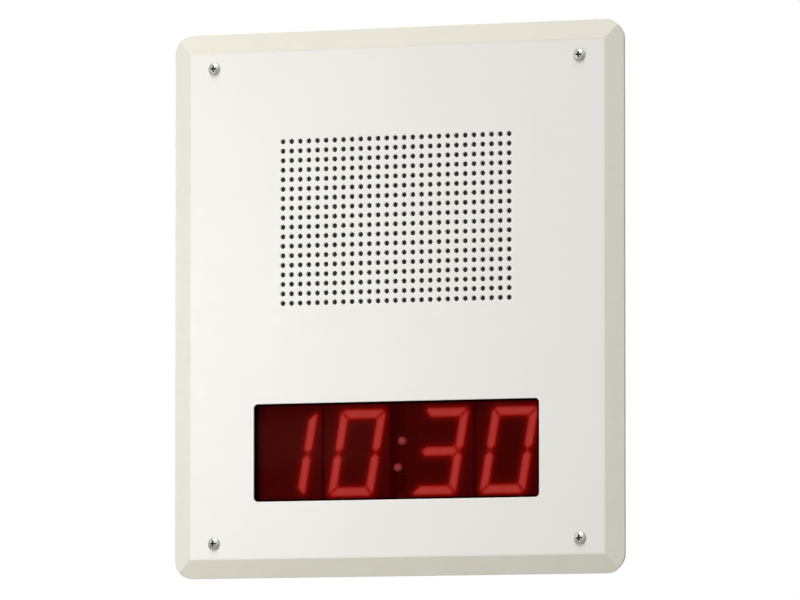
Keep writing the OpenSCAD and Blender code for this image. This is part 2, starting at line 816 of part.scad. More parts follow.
// A ferrite core round the windings, on a bobbin's foot
module power_transformer() {
    inside_w = core[0] - 2 * core_leg;
    inside_h = core[2] - core_base - core_leg;
    color("dimgray") on_main(core_at) {
        block(bobbin, edge_cut);
        difference() {
            translate([0, 0, core_low]) block(core, edge_cut);
            translate([0, 0, core_low + core_base]) linear_extrude(height = inside_h)
                square([inside_w, core[1] + cut], center = true);
        }
        translate([0, 0, core_low + core_base])
            block([inside_w - 2 * winding_gap, core[1] + 2 * winding_out, inside_h], winding_round);
    }
}

module power_inductors() {
    color("gray") for (at = inductor_at) on_main(at) {
        block(inductor, inductor_cut);
        cylinder(d = inductor_top[0], h = inductor_top[1]);
    }
}

// Round cans with a crimped groove near the foot and a scored, dished top
module capacitors() {
    color("navy") for (at = can_at) on_main(at) difference() {
        rotate_extrude() polygon([[0, 0], [can_r - can_round, 0], [can_r, can_round],
            [can_r, can_foot], [can_r - can_bead, can_foot + can_bead],
            [can_r, can_foot + 2 * can_bead], [can_r, can_h - can_round],
            [can_r - can_round, can_h], [can_r - 2 * can_round, can_h - can_dish],
            [0, can_h - can_dish]]);
        translate([0, 0, can_h - 2 * can_dish]) linear_extrude(height = cut)
            for (turn = [0, 90]) rotate(turn) square(can_score, center = true);
    }
}

module processor_chip() {
    color("black") on_main(processor_at) chip(processor, processor_leads, sides = 4, pitch = fine_pitch);
}

module memory_chips() {
    color("black") for (at = memory_at) on_main(at) chip(memory, memory_leads);
}

module amplifier_chip() {
    color("black") on_main(amplifier_at) chip(amplifier, amplifier_leads);
}

// A finned heat sink seated on the amplifier
module heat_sink() {
    fins = 7;
    sink_w = amplifier[0] + 2 * heat_sink_out;
    color("silver") on_main(amplifier_at) translate([0, amplifier[1] / 2, amplifier[2]])
        rotate([90, 0, 0]) linear_extrude(height = amplifier[1]) {
            translate([-sink_w / 2, 0]) square([sink_w, sink_base_t]);
            for (i = [0:fins - 1]) translate([i / (fins - 1) * (sink_w - fin_t) - sink_w / 2, 0])
                square([fin_t, heat_sink_h]);
        }
}

module clock_crystal() {
    straight = crystal[0] - crystal[1];
    color("silver") on_main(crystal_at) linear_extrude(height = crystal[2]) {
        square([straight, crystal[1]], center = true);
        for (side = [-1, 1]) translate([side * straight / 2, 0]) circle(d = crystal[1]);
    }
}

module reset_switch() {
    foot_x = (reset_w + reset_foot[0]) / 2 - lead_root;
    foot_y = reset_w / 2 - reset_foot[0] / 2;
    color("black") on_main(reset_at) difference() {
        union() {
            block([reset_w, reset_w, reset_h], edge_cut);
            for (x = [-foot_x, foot_x], y = [-foot_y, foot_y])
                translate([x, y, reset_foot[2] / 2]) cube(reset_foot, center = true);
        }
        translate([0, 0, reset_floor]) cylinder(d = reset_d + 2 * slip_gap, h = reset_h);
    }
}

module reset_button() {
    rest = reset_floor + reset_travel + slip_gap;
    tall = reset_h + reset_up - rest;
    color("orangered") on_main(reset_at) translate([0, 0, rest]) rotate_extrude()
        polygon([[0, 0], [reset_d / 2, 0], [reset_d / 2, tall - edge_cut],
            [reset_d / 2 - edge_cut, tall], [0, tall]]);
}

module speaker_header() {
    color("ivory") on_main(header_at) block([header_w, header_l, plug_h], edge_cut);
}

// The plug has a stepped nose, and its wires leave it at the top
module speaker_plug() {
    color("white") on_main([plug_x, header_at[1] + (header_l + plug_l) / 2]) {
        block([header_w - 2 * plug_step, plug_l, plug_h - plug_step], edge_cut);
        translate([0, -plug_l / 4, 0]) block([header_w, plug_l / 2, plug_h], edge_cut);
    }
}

// A point and a tangent on the curve from one end to the other, upright at both ends
function curve(a, b, t) =
    let (p = a - [0, 0, wire_ease], q = b + [0, 0, wire_ease], u = 1 - t)
    [u * u * u * a + 3 * u * u * t * p + 3 * u * t * t * q + t * t * t * b,
     u * u * (p - a) + 2 * u * t * (q - p) + t * t * (b - q)];

// A round wire along that curve
module wire(a, b, d) {
    rings = [for (i = [0:wire_rings]) let (at = curve(a, b, i / wire_rings),
        way = at[1] / norm(at[1]), side = cross([0, 1, 0], way) / norm(cross([0, 1, 0], way)),
        up = cross(way, side)) for (k = [0:wire_sides - 1])
            at[0] + d / 2 * (cos(360 * k / wire_sides) * side + sin(360 * k / wire_sides) * up)];
    sides = [for (i = [0:wire_rings - 1], k = [0:wire_sides - 1])
        let (n = (k + 1) % wire_sides, a0 = i * wire_sides, a1 = a0 + wire_sides)
        each [[a0 + k, a1 + k, a1 + n], [a0 + k, a1 + n, a0 + n]]];
    last = wire_rings * wire_sides;
    polyhedron(rings, concat(sides, [[for (k = [0:wire_sides - 1]) k]],
        [[for (k = [wire_sides - 1:-1:0]) last + k]]));
}

module speaker_lead() {
    color("red") for (side = [-1, 1])
        wire([side * lug_x, lug_y, grille_z - lug_out],
            [plug_x + side * wire_pitch / 2, main_back_y + plug_h / 2, plug_top_z], wire_d);
}

// Loudspeaker and its mounting

module grille_cloth() {
    color("black") slab(panel_back_y, baffle_front_y) translate([0, grille_z]) difference() {
        square([baffle_w, baffle_h], center = true);
        at_baffle_studs() circle(d = baffle_stud_d + 2 * clear_gap);
    }
}

// The same outline at each of the speaker's screws
module at_speaker_screws() {
    for (turn = [45:90:315]) rotate(turn) translate([speaker_screw_r, 0]) children();
}

module speaker_baffle() {
    color("silver") slab(baffle_front_y, baffle_back_y) translate([0, grille_z]) difference() {
        plate(baffle_w, baffle_h, baffle_corner_r);
        circle(r = foam_in_r);
        at_speaker_screws() circle(d = speaker_screw_d);
        at_baffle_studs() circle(d = baffle_stud_d + 2 * clear_gap);
    }
}

module baffle_nuts() {
    back_y = baffle_back_y + nut_flange_t + nut_h;
    color("silver") translate([0, 0, grille_z])
        upright_corners(baffle_w - 2 * baffle_edge, baffle_h - 2 * baffle_edge) difference() {
            union() {
                slab(baffle_back_y, baffle_back_y + nut_flange_t) circle(d = nut_flange_d);
                slab(baffle_back_y, back_y) circle(d = nut_flats / cos(30), $fn = 6);
            }
            slab(baffle_back_y - cut, back_y + cut) circle(d = baffle_stud_d + 2 * fit_gap);
        }
}

module speaker_foam() {
    color("black") slab(baffle_back_y, speaker_y) translate([0, grille_z]) difference() {
        circle(r = speaker_r);
        circle(r = foam_in_r);
        at_speaker_screws() circle(d = speaker_screw_d + 2 * clear_gap);
    }
}

module speaker_screws() {
    reach = basket_t + foam_t + baffle_t - slip_gap;
    color("silver") for (turn = [45:90:315])
        translate([speaker_screw_r * cos(turn), 0, grille_z + speaker_screw_r * sin(turn)])
            screw(speaker_y + basket_t, reach, speaker_screw_d - 2 * fit_gap,
                speaker_head_d, speaker_head_h, -1);
}

// The pressed basket, with windows through its sloped wall and a tab for the terminals
module speaker_basket() {
    color("slategray") difference() {
        union() {
            turned() polygon([
                [speaker_r, speaker_y], [ledge_out_r, speaker_y], [ledge_out_r, rim_y],
                [ledge_in_r, rim_y], [basket_in_r, spider_y], [spider_r, spider_y],
                [spider_r, plate_front_y - basket_t], [seat_in_r, plate_front_y - basket_t],
                [seat_in_r, plate_front_y], [spider_r + basket_t, plate_front_y],
                [spider_r + basket_t, spider_y + basket_t],
                [basket_in_r + basket_wall, spider_y + basket_t],
                [ledge_in_r + basket_wall, rim_y + basket_t],
                [ledge_out_r + basket_t, rim_y + basket_t],
                [ledge_out_r + basket_t, speaker_y + basket_t], [speaker_r, speaker_y + basket_t]]);
            slab(spider_y, spider_y + basket_t) translate([-tab_w / 2, grille_z - tab_out])
                square([tab_w, tab_out - tab_in]);
        }
        slab(rim_y + basket_t + window_frame, spider_y - window_frame) translate([0, grille_z])
            for (turn = [0:360 / basket_windows:359]) intersection() {
                difference() {
                    circle(r = ledge_in_r + 2 * cut);
                    circle(r = basket_in_r - cut);
                }
                rotate(turn) polygon([[0, 0], for (a = [-window_arc, window_arc])
                    2 * speaker_r * [cos(a), sin(a)]]);
            }
        slab(speaker_y - cut, speaker_y + basket_t + cut) translate([0, grille_z])
            at_speaker_screws() circle(d = speaker_screw_d + 2 * clear_gap);
    }
}

module terminal_strip() {
    color("saddlebrown") slab(spider_y + basket_t, spider_y + basket_t + strip_t)
        translate([-tab_w / 2, grille_z - tab_out]) square([tab_w, strip_l]);
}

module terminal_lugs() {
    color("silver") slab(lug_y - lug_t / 2, lug_y + lug_t / 2) for (side = [-1, 1])
        translate([side * lug_x - lug_w / 2, grille_z - lug_out]) square([lug_w, lug_l]);
}

module cone_surround() {
    half = skin_t / 2;
    roll_at = cone_r + roll_r;
    outer = ledge_out_r - slip_gap;
    color("black") turned() polygon(concat(
        [[cone_r - lip_w, surround_y - half]],
        arc(roll_at, surround_y - half, roll_r + half, 180, 360, 12),
        [[outer, surround_y - half], [outer, surround_y + half]],
        [[roll_at + roll_r - half, surround_y + half]],
        arc(roll_at, surround_y - half, roll_r - half, 360, 180, 12),
        [[roll_at - roll_r + half, surround_y + half], [cone_r - lip_w, surround_y + half]]));
}

// The front face of the cone at a radius: a flare that flattens towards the rim
function cone_y(r) = let (t = (r - former_r) / (cone_r - lip_w - former_r))
    neck_y + (rim_y - neck_y) * t * (1.3 - 0.3 * t);

module speaker_cone() {
    steps = 10;
    inner = former_r + fit_gap;
    outer = cone_r - lip_w;
    flare = [for (i = [0:steps]) let (r = inner + (outer - inner) * i / steps) [r, cone_y(r)]];
    color("dimgray") turned() polygon(concat(flare, [[cone_r, rim_y], [cone_r, rim_y + paper_t]],
        [for (i = [steps:-1:0]) flare[i] + [0, paper_t]]));
}

module dust_cap() {
    cap_y = cone_y(cap_r) - slip_gap;
    ball_r = (pow(cap_r, 2) + pow(cap_rise, 2)) / (2 * cap_rise);
    ball_y = cap_y - cap_rise + ball_r;
    color("gray") turned() polygon(concat(
        arc(0, ball_y, ball_r, -90, -asin((ball_y - cap_y) / ball_r), 12),
        arc(0, ball_y, ball_r - skin_t, -asin((ball_y - cap_y) / (ball_r - skin_t)), -90, 12)));
}

module voice_coil() {
    winding_y = coil_back_y - winding_len;
    color("peru") turned() polygon([[coil_r, neck_y - former_up], [former_r, neck_y - former_up],
        [former_r, winding_y], [former_r + winding_t, winding_y],
        [former_r + winding_t, coil_back_y], [coil_r, coil_back_y]]);
}

// The corrugated spider, from the former out to its ledge
module speaker_spider() {
    waves = 4;
    rise = 0.8;
    steps = 8 * waves;
    inner = former_r + fit_gap;
    first = inner + spider_flat;
    last = spider_r - skin_t;
    mid_y = spider_y - skin_t / 2;
    line = concat([[inner, mid_y]], [for (i = [0:steps]) [first + (last - first) * i / steps,
        mid_y - rise * sin(360 * waves * i / steps)]], [[basket_in_r - clear_gap, mid_y]]);
    color("goldenrod") turned() polygon(concat([for (p = line) p - [0, skin_t / 2]],
        [for (i = [len(line) - 1:-1:0]) line[i] + [0, skin_t / 2]]));
}

module pole_plate() {
    color("silver") turned() polygon([[gap_r, plate_front_y], [pole_plate_r - pole_edge, plate_front_y],
        [pole_plate_r, plate_front_y + pole_edge], [pole_plate_r, magnet_front_y],
        [gap_r, magnet_front_y]]);
}

module speaker_magnet() {
    color("dimgray") turned() polygon([[magnet_bore_r, magnet_front_y],
        [magnet_r - pole_edge, magnet_front_y], [magnet_r, magnet_front_y + pole_edge],
        [magnet_r, yoke_front_y - pole_edge], [magnet_r - pole_edge, yoke_front_y],
        [magnet_bore_r, yoke_front_y]]);
}

module pole_yoke() {
    color("silver") turned() polygon([[0, plate_front_y], [pole_r, plate_front_y],
        [pole_r, yoke_front_y], [pole_plate_r, yoke_front_y],
        [pole_plate_r, yoke_back_y - pole_edge], [pole_plate_r - pole_edge, yoke_back_y],
        [0, yoke_back_y]]);
}

// Back box

// The sheared line round a knockout, broken by the two tabs that hold it
module knockout_line() {
    difference() {
        circle(d = knockout_d + 2 * knockout_slot);
        circle(d = knockout_d);
        square([knockout_tab, 2 * knockout_d], center = true);
    }
}

// A section across the box in X and Y, with round corners at its rear
module section(w, front_y, back_y, r) {
    intersection() {
        translate([0, back_y - box_d]) plate(w, 2 * box_d, r);
        translate([-w, front_y]) square([2 * w, back_y - front_y]);
    }
}

// The folded rear and side walls, with the flange welded in their mouth
module back_box() {
    color("gainsboro") difference() {
        union() {
            linear_extrude(height = box_h, center = true) difference() {
                section(box_w, mouth_y, 0, bend_out_r);
                section(box_w - 2 * box_t, mouth_y - cut, -box_t, bend_in_r);
            }
            slab(mouth_y, mouth_y + box_t) square([box_w, box_h], center = true);
        }
        slab(mouth_y - cut, mouth_y + box_t + cut) {
            square([mouth_w, mouth_h], center = true);
            corners(screw_span_x, screw_span_z) circle(d = nut_shank_d + 2 * slip_gap);
        }
        slab(-box_t - cut, cut) {
            corners(fixing_span_x, fixing_span_z) circle(d = fixing_d);
            for (up = [-1, 1]) translate([0, up * knockout_x]) knockout_line();
        }
        for (side = [-1, 1]) translate([side * (box_w - box_t) / 2, knockout_y, 0])
            rotate([0, 90, 0]) linear_extrude(height = box_t + 2 * cut, center = true)
                knockout_line();
    }
}

// One end of the box, less the cuts that are its children
module end_plate(z) {
    translate([0, 0, z]) linear_extrude(height = box_t) difference() {
        section(box_w - 2 * box_t, mouth_y + box_t, -box_t, bend_out_r);
        translate([0, knockout_y]) children();
    }
}

// The upper end takes the network cable, and the lower end the earthing screw
module box_ends() {
    color("gainsboro") {
        end_plate(box_h / 2 - box_t) {
            translate([entry_x, 0]) circle(d = knockout_d);
            translate([-entry_x, 0]) knockout_line();
        }
        end_plate(-box_h / 2) {
            for (side = [-1, 1]) translate([side * knockout_x, 0]) knockout_line();
            translate([earth_x, 0]) circle(d = earth_screw_d);
        }
    }
}

// A rivet nut in each corner of the flange
module corner_nuts() {
    thread_r = panel_screw_d / 2;
    shank_r = nut_shank_d / 2;
    grip_y = mouth_y + box_t;
    color("silver") upright_corners(screw_span_x, screw_span_z) rotate([-90, 0, 0])
        rotate_extrude() polygon([
            [thread_r, mouth_y - nut_lip_t], [nut_lip_d / 2, mouth_y - nut_lip_t],
            [nut_lip_d / 2, mouth_y], [shank_r, mouth_y], [shank_r, grip_y],
            [shank_r + nut_bulge, grip_y], [shank_r + nut_bulge, grip_y + nut_bulge_l - nut_bulge],
            [shank_r, grip_y + nut_bulge_l], [shank_r, mouth_y + nut_len],
            [thread_r, mouth_y + nut_len]]);
}

module cable_grommet() {
    hole_r = knockout_d / 2 - slip_gap;
    lip_r = knockout_d / 2 + grommet_lip;
    bore_r = grommet_bore_d / 2;
    top = box_h / 2;
    inner = top - box_t - grommet_lip_t;
    outer = top + grommet_lip_t;
    color("black") translate([entry_x, knockout_y, 0]) rotate_extrude() polygon([
        [bore_r, inner], [lip_r - grommet_round, inner], [lip_r, inner + grommet_round],
        [lip_r, top - box_t], [hole_r, top - box_t], [hole_r, top], [lip_r, top],
        [lip_r, outer - grommet_round], [lip_r - grommet_round, outer], [bore_r, outer]]);
}

module earth_screw() {
    head_d = earth_screw_d * 1.75 / cos(30);
    color("green") translate([earth_x, knockout_y, box_t - box_h / 2]) difference() {
        union() {
            cylinder(d = head_d + 2 * earth_washer_t, h = earth_washer_t);
            cylinder(d = head_d, h = earth_head_h, $fn = 6);
            translate([0, 0, -box_t - earth_out])
                cylinder(d = earth_screw_d - 2 * fit_gap, h = box_t + earth_out);
        }
        translate([-head_d, -earth_slot[0] / 2, earth_head_h - earth_slot[1]])
            cube([2 * head_d, earth_slot[0], 2 * earth_slot[1]]);
    }
}

front_panel();
panel_screws();
sealing_strip();
panel_studs();
display_lens();
lens_spacers();
hour_tens_digit();
hour_units_digit();
minute_tens_digit();
minute_units_digit();
lit_segments();
unlit_segments();
digit_pins();
colon_holder();
colon_lamps();
display_board();
driver_chips();
link_header();
link_socket();
board_standoffs();
board_screws();
main_board();
network_jack();
jack_contacts();
line_transformer();
power_transformer();
power_inductors();
capacitors();
processor_chip();
memory_chips();
amplifier_chip();
heat_sink();
clock_crystal();
status_lamps();
reset_switch();
reset_button();
speaker_header();
speaker_plug();
speaker_lead();
grille_cloth();
speaker_baffle();
baffle_nuts();
speaker_foam();
speaker_screws();
speaker_basket();
terminal_strip();
terminal_lugs();
cone_surround();
speaker_cone();
dust_cap();
voice_coil();
speaker_spider();
pole_plate();
speaker_magnet();
pole_yoke();
back_box();
box_ends();
corner_nuts();
cable_grommet();
earth_screw();
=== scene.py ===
"""Looks of a flush network wall clock with a loudspeaker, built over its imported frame.

The front faces -Y, the wall is at +Y, and +Z is up. Every length is in metres.
"""

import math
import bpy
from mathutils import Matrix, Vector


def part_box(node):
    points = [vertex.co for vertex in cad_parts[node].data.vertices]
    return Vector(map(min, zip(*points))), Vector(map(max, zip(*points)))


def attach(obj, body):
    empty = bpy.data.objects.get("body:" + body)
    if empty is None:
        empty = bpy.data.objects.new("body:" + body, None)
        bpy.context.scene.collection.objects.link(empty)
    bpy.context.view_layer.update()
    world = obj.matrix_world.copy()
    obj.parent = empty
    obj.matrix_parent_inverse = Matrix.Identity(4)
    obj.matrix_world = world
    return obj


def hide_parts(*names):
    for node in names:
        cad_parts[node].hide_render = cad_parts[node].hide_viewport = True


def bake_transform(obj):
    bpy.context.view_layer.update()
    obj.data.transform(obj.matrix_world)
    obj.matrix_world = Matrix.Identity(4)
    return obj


bl_info = {
    "name": "Network Wall Clock",
    "version": (1, 0, 0),
    "blender": (4, 5, 0),
    "location": "3D View > Sidebar > Wall Clock",
    "description": "Dresses a flush network wall clock with a loudspeaker in its real finishes",
    "category": "Object",
}

import bmesh
import bpy
import numpy as np
from bpy.props import FloatProperty, FloatVectorProperty, IntProperty, PointerProperty, StringProperty
from mathutils import Euler, Vector
from mathutils.geometry import delaunay_2d_cdt

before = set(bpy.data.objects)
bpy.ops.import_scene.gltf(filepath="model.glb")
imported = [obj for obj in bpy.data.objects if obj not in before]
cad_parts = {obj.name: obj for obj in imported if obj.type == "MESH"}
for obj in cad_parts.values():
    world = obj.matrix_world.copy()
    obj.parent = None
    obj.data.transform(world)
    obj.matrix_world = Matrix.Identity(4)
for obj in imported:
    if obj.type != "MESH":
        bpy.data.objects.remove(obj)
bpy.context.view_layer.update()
MM = 0.001


def linear(code):
    """An sRGB hex colour as a linear colour with alpha."""
    parts = [int(code[i : i + 2], 16) / 255 for i in (0, 2, 4)]
    return (*(p / 12.92 if p <= 0.04045 else ((p + 0.055) / 1.055) ** 2.4 for p in parts), 1.0)


def middle(node):
    """The centre of a CAD node's box."""
    low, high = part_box(node)
    return (low + high) / 2


def span(node):
    """The size of a CAD node's box."""
    low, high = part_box(node)
    return high - low


# Widths of the parts that stand in fours, one near each corner of what they hold
WIDTHS = {
    "panel_screws": 8.2 * MM,
    "board_screws": 5.6 * MM,
    "speaker_screws": 8 * MM,
    "lens_spacers": 6 * MM,
    "corner_nuts": 8.8 * MM,
    "baffle_nuts": 9.6 * MM,
}


def four_holes(node, diameter, steps):
    """Round holes on the axes of four like parts, turning left."""
    low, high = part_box(node)
    in_from = WIDTHS[node] / 2
    axes = [(x, z) for x in (low.x + in_from, high.x - in_from) for z in (low.z + in_from, high.z - in_from)]
    return [ring(diameter / 2, steps, axis) for axis in axes]


# Sizes and colours that a user may change


def length(name, description, default):
    """A size that a user may change."""
    return FloatProperty(name=name, description=description, default=default, min=0, unit="LENGTH")


def colour(name, description, code):
    """A colour that a user may change."""
    return FloatVectorProperty(
        name=name, description=description, default=linear(code), size=4, subtype="COLOR", min=0, max=1
    )


class PanelSizes(bpy.types.PropertyGroup):
    corner: length("Corner Radius", "Radius of the panel's outer corners", 13 * MM)
    border: length("Border Width", "Width of the sloped border, seen from the front", 12.7 * MM)
    drop: length("Border Drop", "How far the border slopes back to the wall", 3.2 * MM)
    bend: length("Bend Radius", "Radius of the bend between face and border", 3 * MM)
    sheet: length("Sheet", "Thickness of the steel sheet", 1.5 * MM)
    edge: length("Edge Rounding", "How far the paint rounds a cut edge", 0.35 * MM)
    columns: IntProperty(name="Columns", description="Holes in one row of the grille", default=27, min=2)
    rows: IntProperty(name="Rows", description="Holes in one column of the grille", default=18, min=2)
    pitch: length("Pitch", "Distance from one grille hole to the next", 6.35 * MM)
    hole: length("Hole", "Diameter of a grille hole", 3.5 * MM)
    window_width: length("Window Width", "Width of the display window", 208 * MM)
    window_height: length("Window Height", "Height of the display window", 65 * MM)
    window_corner: length("Window Corner", "Corner radius of the display window", 2.8 * MM)
    screw_hole: length("Screw Hole", "Clearance hole for a corner screw", 4.8 * MM)


class DisplaySizes(bpy.types.PropertyGroup):
    time: StringProperty(name="Time", description="The four numerals that the clock shows", default="1030")
    height: length("Numeral Height", "Height of a numeral over its segments", 57.2 * MM)
    width: length("Numeral Width", "Width of an upright numeral over its segments", 33 * MM)
    stroke: length("Stroke", "Width of one segment's stroke", 5.8 * MM)
    gap: length("Segment Gap", "Gap between neighbouring segments", 0.9 * MM)
    cut: length("Corner Cut", "How much of a numeral's outer corner is cut off", 3 * MM)
    lean: FloatProperty(
        name="Lean", description="Lean of the numerals", default=math.radians(10), subtype="ANGLE"
    )
    point: length("Point", "Diameter of the decimal point", 4.6 * MM)
    lens_gap: length("Lens Gap", "Gap round the lens in its cut-out", 0.3 * MM)


class Finishes(bpy.types.PropertyGroup):
    paint: colour("Paint", "Powder coat of the flat face", "EDECEB")
    # Creamier and darker than the face: partly its own tone, partly painted shade of the slope.
    border_paint: colour("Border Paint", "Powder coat of the sloped border", "E1DFD5")
    lens: colour("Lens", "What one face of the lens lets through", "E29C98")
    segment: colour("Lit Segment", "Light of a lit segment", "C6958F")
    spill: colour("Spill", "Light that a lit segment spills on the digit's face", "D83A28")
    colon: colour("Colon", "Light of the colon's lamps", "A29CAD")
    digit: colour("Digit Face", "Face of a digit's body", "423E40")
    sheet_steel: colour("Sheet Steel", "Zinc coating of the back box", "A2A4A5")


# Shapes


def ring(radius, steps, at=(0, 0), start=0.0):
    """A circle of points across and up, turning left."""
    angles = [start + 2 * math.pi * i / steps for i in range(steps)]
    return [(at[0] + radius * math.cos(a), at[1] + radius * math.sin(a)) for a in angles]


def rectangle(left, right, bottom, top):
    """The corners of a rectangle, turning left."""
    return [(right, bottom), (right, top), (left, top), (left, bottom)]


def rolled(edge):
    """The steps of a small rounded edge, each as how far in it lies and how deep."""
    return [(edge, 0.0), (edge * 0.3, edge * 0.3), (0.0, edge)]


def rounded(width, height, radius, steps, at=(0, 0)):
    """A rectangle with round corners, each of that many steps, turning left."""
    points = []
    for turn, (x, z) in enumerate([(1, 1), (-1, 1), (-1, -1), (1, -1)]):
        for i in range(steps + 1):
            a = math.pi / 2 * (turn + i / max(steps, 1))
            points.append(
                (
                    at[0] + x * (width / 2 - radius) + radius * math.cos(a),
                    at[1] + z * (height / 2 - radius) + radius * math.sin(a),
                )
            )
    return points


def inset(outline, distance):
    """An outline that turns left, moved inward, or outward where the distance is below zero."""
    p = np.array(outline, float)
    into, out = p - np.roll(p, 1, 0), np.roll(p, -1, 0) - p
    into, out = (v / np.linalg.norm(v, axis=1)[:, None] for v in (into, out))
    a, b = (np.stack([-v[:, 1], v[:, 0]], 1) for v in (into, out))
    moved = p + distance * (a + b) / (1 + (a * b).sum(1))[:, None]
    return [tuple(v) for v in moved]


def stepped(outline, step, bow=0.02 * MM):
    """The same outline with its long sides cut into steps, so that a tone can change along them. Each side
    bows out very slightly, because points in one line make faces with no area."""
    points = []
    for (ax, az), (bx, bz) in zip(outline, outline[1:] + outline[:1]):
        side = math.hypot(bx - ax, bz - az)
        count = max(1, round(side / step))
        for t in (i / count for i in range(count)):
            out = 4 * t * (1 - t) * bow / side
            points.append((ax + (bx - ax) * t + (bz - az) * out, az + (bz - az) * t - (bx - ax) * out))
    return points


def at_depth(outline, y):
    """Points across and up as points in space, at one depth or at a depth worked out for each."""
    return [(x, y(x, z) if callable(y) else y, z) for x, z in outline]


def grid(low, high, step):
    """Points spread evenly over a rectangle."""
    across, up = (np.arange(low[i] + step, high[i], step) for i in range(2))
    return [(x, z) for x in across for z in up]


def fill(outlines, lines=(), inner=()):
    """Triangles of the area inside closed outlines, with their holes left open. Lines are kept as edges."""
    points, edges = [], []
    outlines = [[tuple(Vector(p)) for p in outline] for outline in outlines]
    for outline in outlines:
        first = len(points)
        points += outline
        edges += [(first + i, first + (i + 1) % len(outline)) for i in range(len(outline))]
    for line in lines:
        first = len(points)
        points += line
        edges += [(first + i, first + i + 1) for i in range(len(line) - 1)]
    found = delaunay_2d_cdt([Vector(p) for p in [*points, *inner]], edges, [], 0, 2e-6)
    flat, triangles = np.array([tuple(v) for v in found[0]]), np.array(found[2])
    centre = flat[triangles].mean(1)
    inside = np.zeros(len(centre), bool)
    for outline in outlines:
        for (ax, az), (bx, bz) in zip(outline, outline[1:] + outline[:1]):
            if az != bz:
                across = ax + (centre[:, 1] - az) * (bx - ax) / (bz - az)
                inside ^= ((az > centre[:, 1]) != (bz > centre[:, 1])) & (centre[:, 0] < across)
    return flat, triangles[inside]


class Shell:
    """The points and faces of one piece, gathered band by band. Neighbours are welded at the end."""

    def __init__(self):
        self.points, self.faces, self.slots = [], [], []

    def take(self, points, faces, slot=0):
        first = len(self.points)
        self.points += [tuple(p) for p in points]
        self.faces += [tuple(first + i for i in face) for face in faces]
        self.slots += [slot] * len(faces)

    def bands(self, *loops, slot=0, closed=True):
        """Quads from each loop of points to the next."""
        n = len(loops[0])
        quads = [
            (row * n + i, row * n + (i + 1) % n, (row + 1) * n + (i + 1) % n, (row + 1) * n + i)
            for row in range(len(loops) - 1)
            for i in range(n if closed else n - 1)
        ]
        self.take([p for loop in loops for p in loop], quads, slot)

    def cap(self, outlines, y, lines=(), inner=(), slot=0):
        """A flat or shaped face between outlines."""
        flat, triangles = fill(outlines, lines, inner)
        self.take(at_depth(flat, y), triangles, slot)

    def prism(self, outline, front, back, edge=0.0, holes=(), bulge=0.0, slot=0):
        """A solid from one depth to another, with rounded rims and walls that may bulge."""
        wall = rolled(edge) if edge else [(0.0, 0.0)]
        if bulge:
            wall.append((-bulge, abs(back - front) / 2))
        way = 1 if back > front else -1
        for sign, loop in [(1, outline), *((-1, hole) for hole in holes)]:
            rows = [at_depth(inset(loop, sign * into), front + way * deep) for into, deep in wall]
            far = wall[:-1] if bulge else wall
            rows += [at_depth(inset(loop, sign * into), back - way * deep) for into, deep in reversed(far)]
            self.bands(*rows, slot=slot)
        for y in (front, back):
            self.cap([inset(outline, edge), *(inset(hole, -edge) for hole in holes)], y, slot=slot)

    def lathe(self, profile, steps, place, slot=0, start=0.0, sweep=2 * math.pi):
        """A closed profile of radius and height turned round an axis. Place puts its points in space."""
        whole = sweep > 6.28
        angles = [start + sweep * i / steps for i in range(steps + (0 if whole else 1))]
        rows = [[place(r * math.cos(a), r * math.sin(a), h) for a in angles] for r, h in profile]
        self.bands(*rows, rows[0], slot=slot, closed=whole)
        if not whole:
            for i in (0, -1):
                self.take([row[i] for row in rows], [tuple(range(len(rows)))], slot)

    def mesh(self, name, finishes, sharp=32):
        """One clean mesh: doubles merged, faces pointing outward, sharp edges marked by their angle."""
        work = bmesh.new()
        verts = [work.verts.new(p) for p in self.points]
        for face, slot in zip(self.faces, self.slots):
            if len(set(face)) > 2:
                try:
                    work.faces.new([verts[i] for i in face]).material_index = slot
                except ValueError:
                    pass
        bmesh.ops.remove_doubles(work, verts=work.verts, dist=3e-6)
        bmesh.ops.dissolve_degenerate(work, edges=work.edges, dist=1e-7)
        bmesh.ops.delete(work, geom=[e for e in work.edges if not e.link_faces], context="EDGES")
        bmesh.ops.delete(work, geom=[v for v in work.verts if not v.link_faces], context="VERTS")
        bmesh.ops.recalc_face_normals(work, faces=work.faces)
        mesh = bpy.data.meshes.new(name)
        work.to_mesh(mesh)
        work.free()
        for finish in finishes:
            mesh.materials.append(finish)
        mesh.shade_smooth()
        mesh.set_sharp_from_angle(angle=math.radians(sharp))
        return mesh

    def piece(self, name, finishes, slot, node, sharp=32):
        """The finished mesh as an object, in the place of a CAD node."""
        return fit(show(name, self.mesh(name, finishes, sharp)), node)


def show(name, data):
    """A new object in the scene, at the origin."""
    shown = bpy.data.objects.new(name, data)
    bpy.context.scene.collection.objects.link(shown)
    return shown


def fit(piece, node):
    """Puts a finished piece that rides on the clock in the place of the CAD node that it stands for."""
    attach(piece, "clock")
    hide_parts(node)
    return piece


def dress(finish, *nodes):
    """Gives CAD nodes that keep their shape a real finish."""
    for name in nodes:
        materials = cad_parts[name].data.materials
        for i in range(len(materials)):
            materials[i] = finish


def dress_plainly(finishes):
    """Gives CAD nodes their plain finishes, by the finish's name."""
    for name, nodes in finishes.items():
        dress(plain(name), *nodes)


# Node trees


def add(tree, kind, inputs=(), **settings):
    """Adds a node with its settings and links, and gives its outputs. Inputs are a list in the node's own
    order or a dict by name or number, of values or of other nodes' outputs."""
    node = tree.nodes.new(kind if "Node" in kind else f"ShaderNode{kind}")
    for name, value in settings.items():
        setattr(node, name, value)
    for name, value in inputs.items() if isinstance(inputs, dict) else enumerate(inputs):
        if isinstance(value, bpy.types.NodeSocket):
            tree.links.new(value, node.inputs[name])
        else:
            node.inputs[name].default_value = value
    return node.outputs


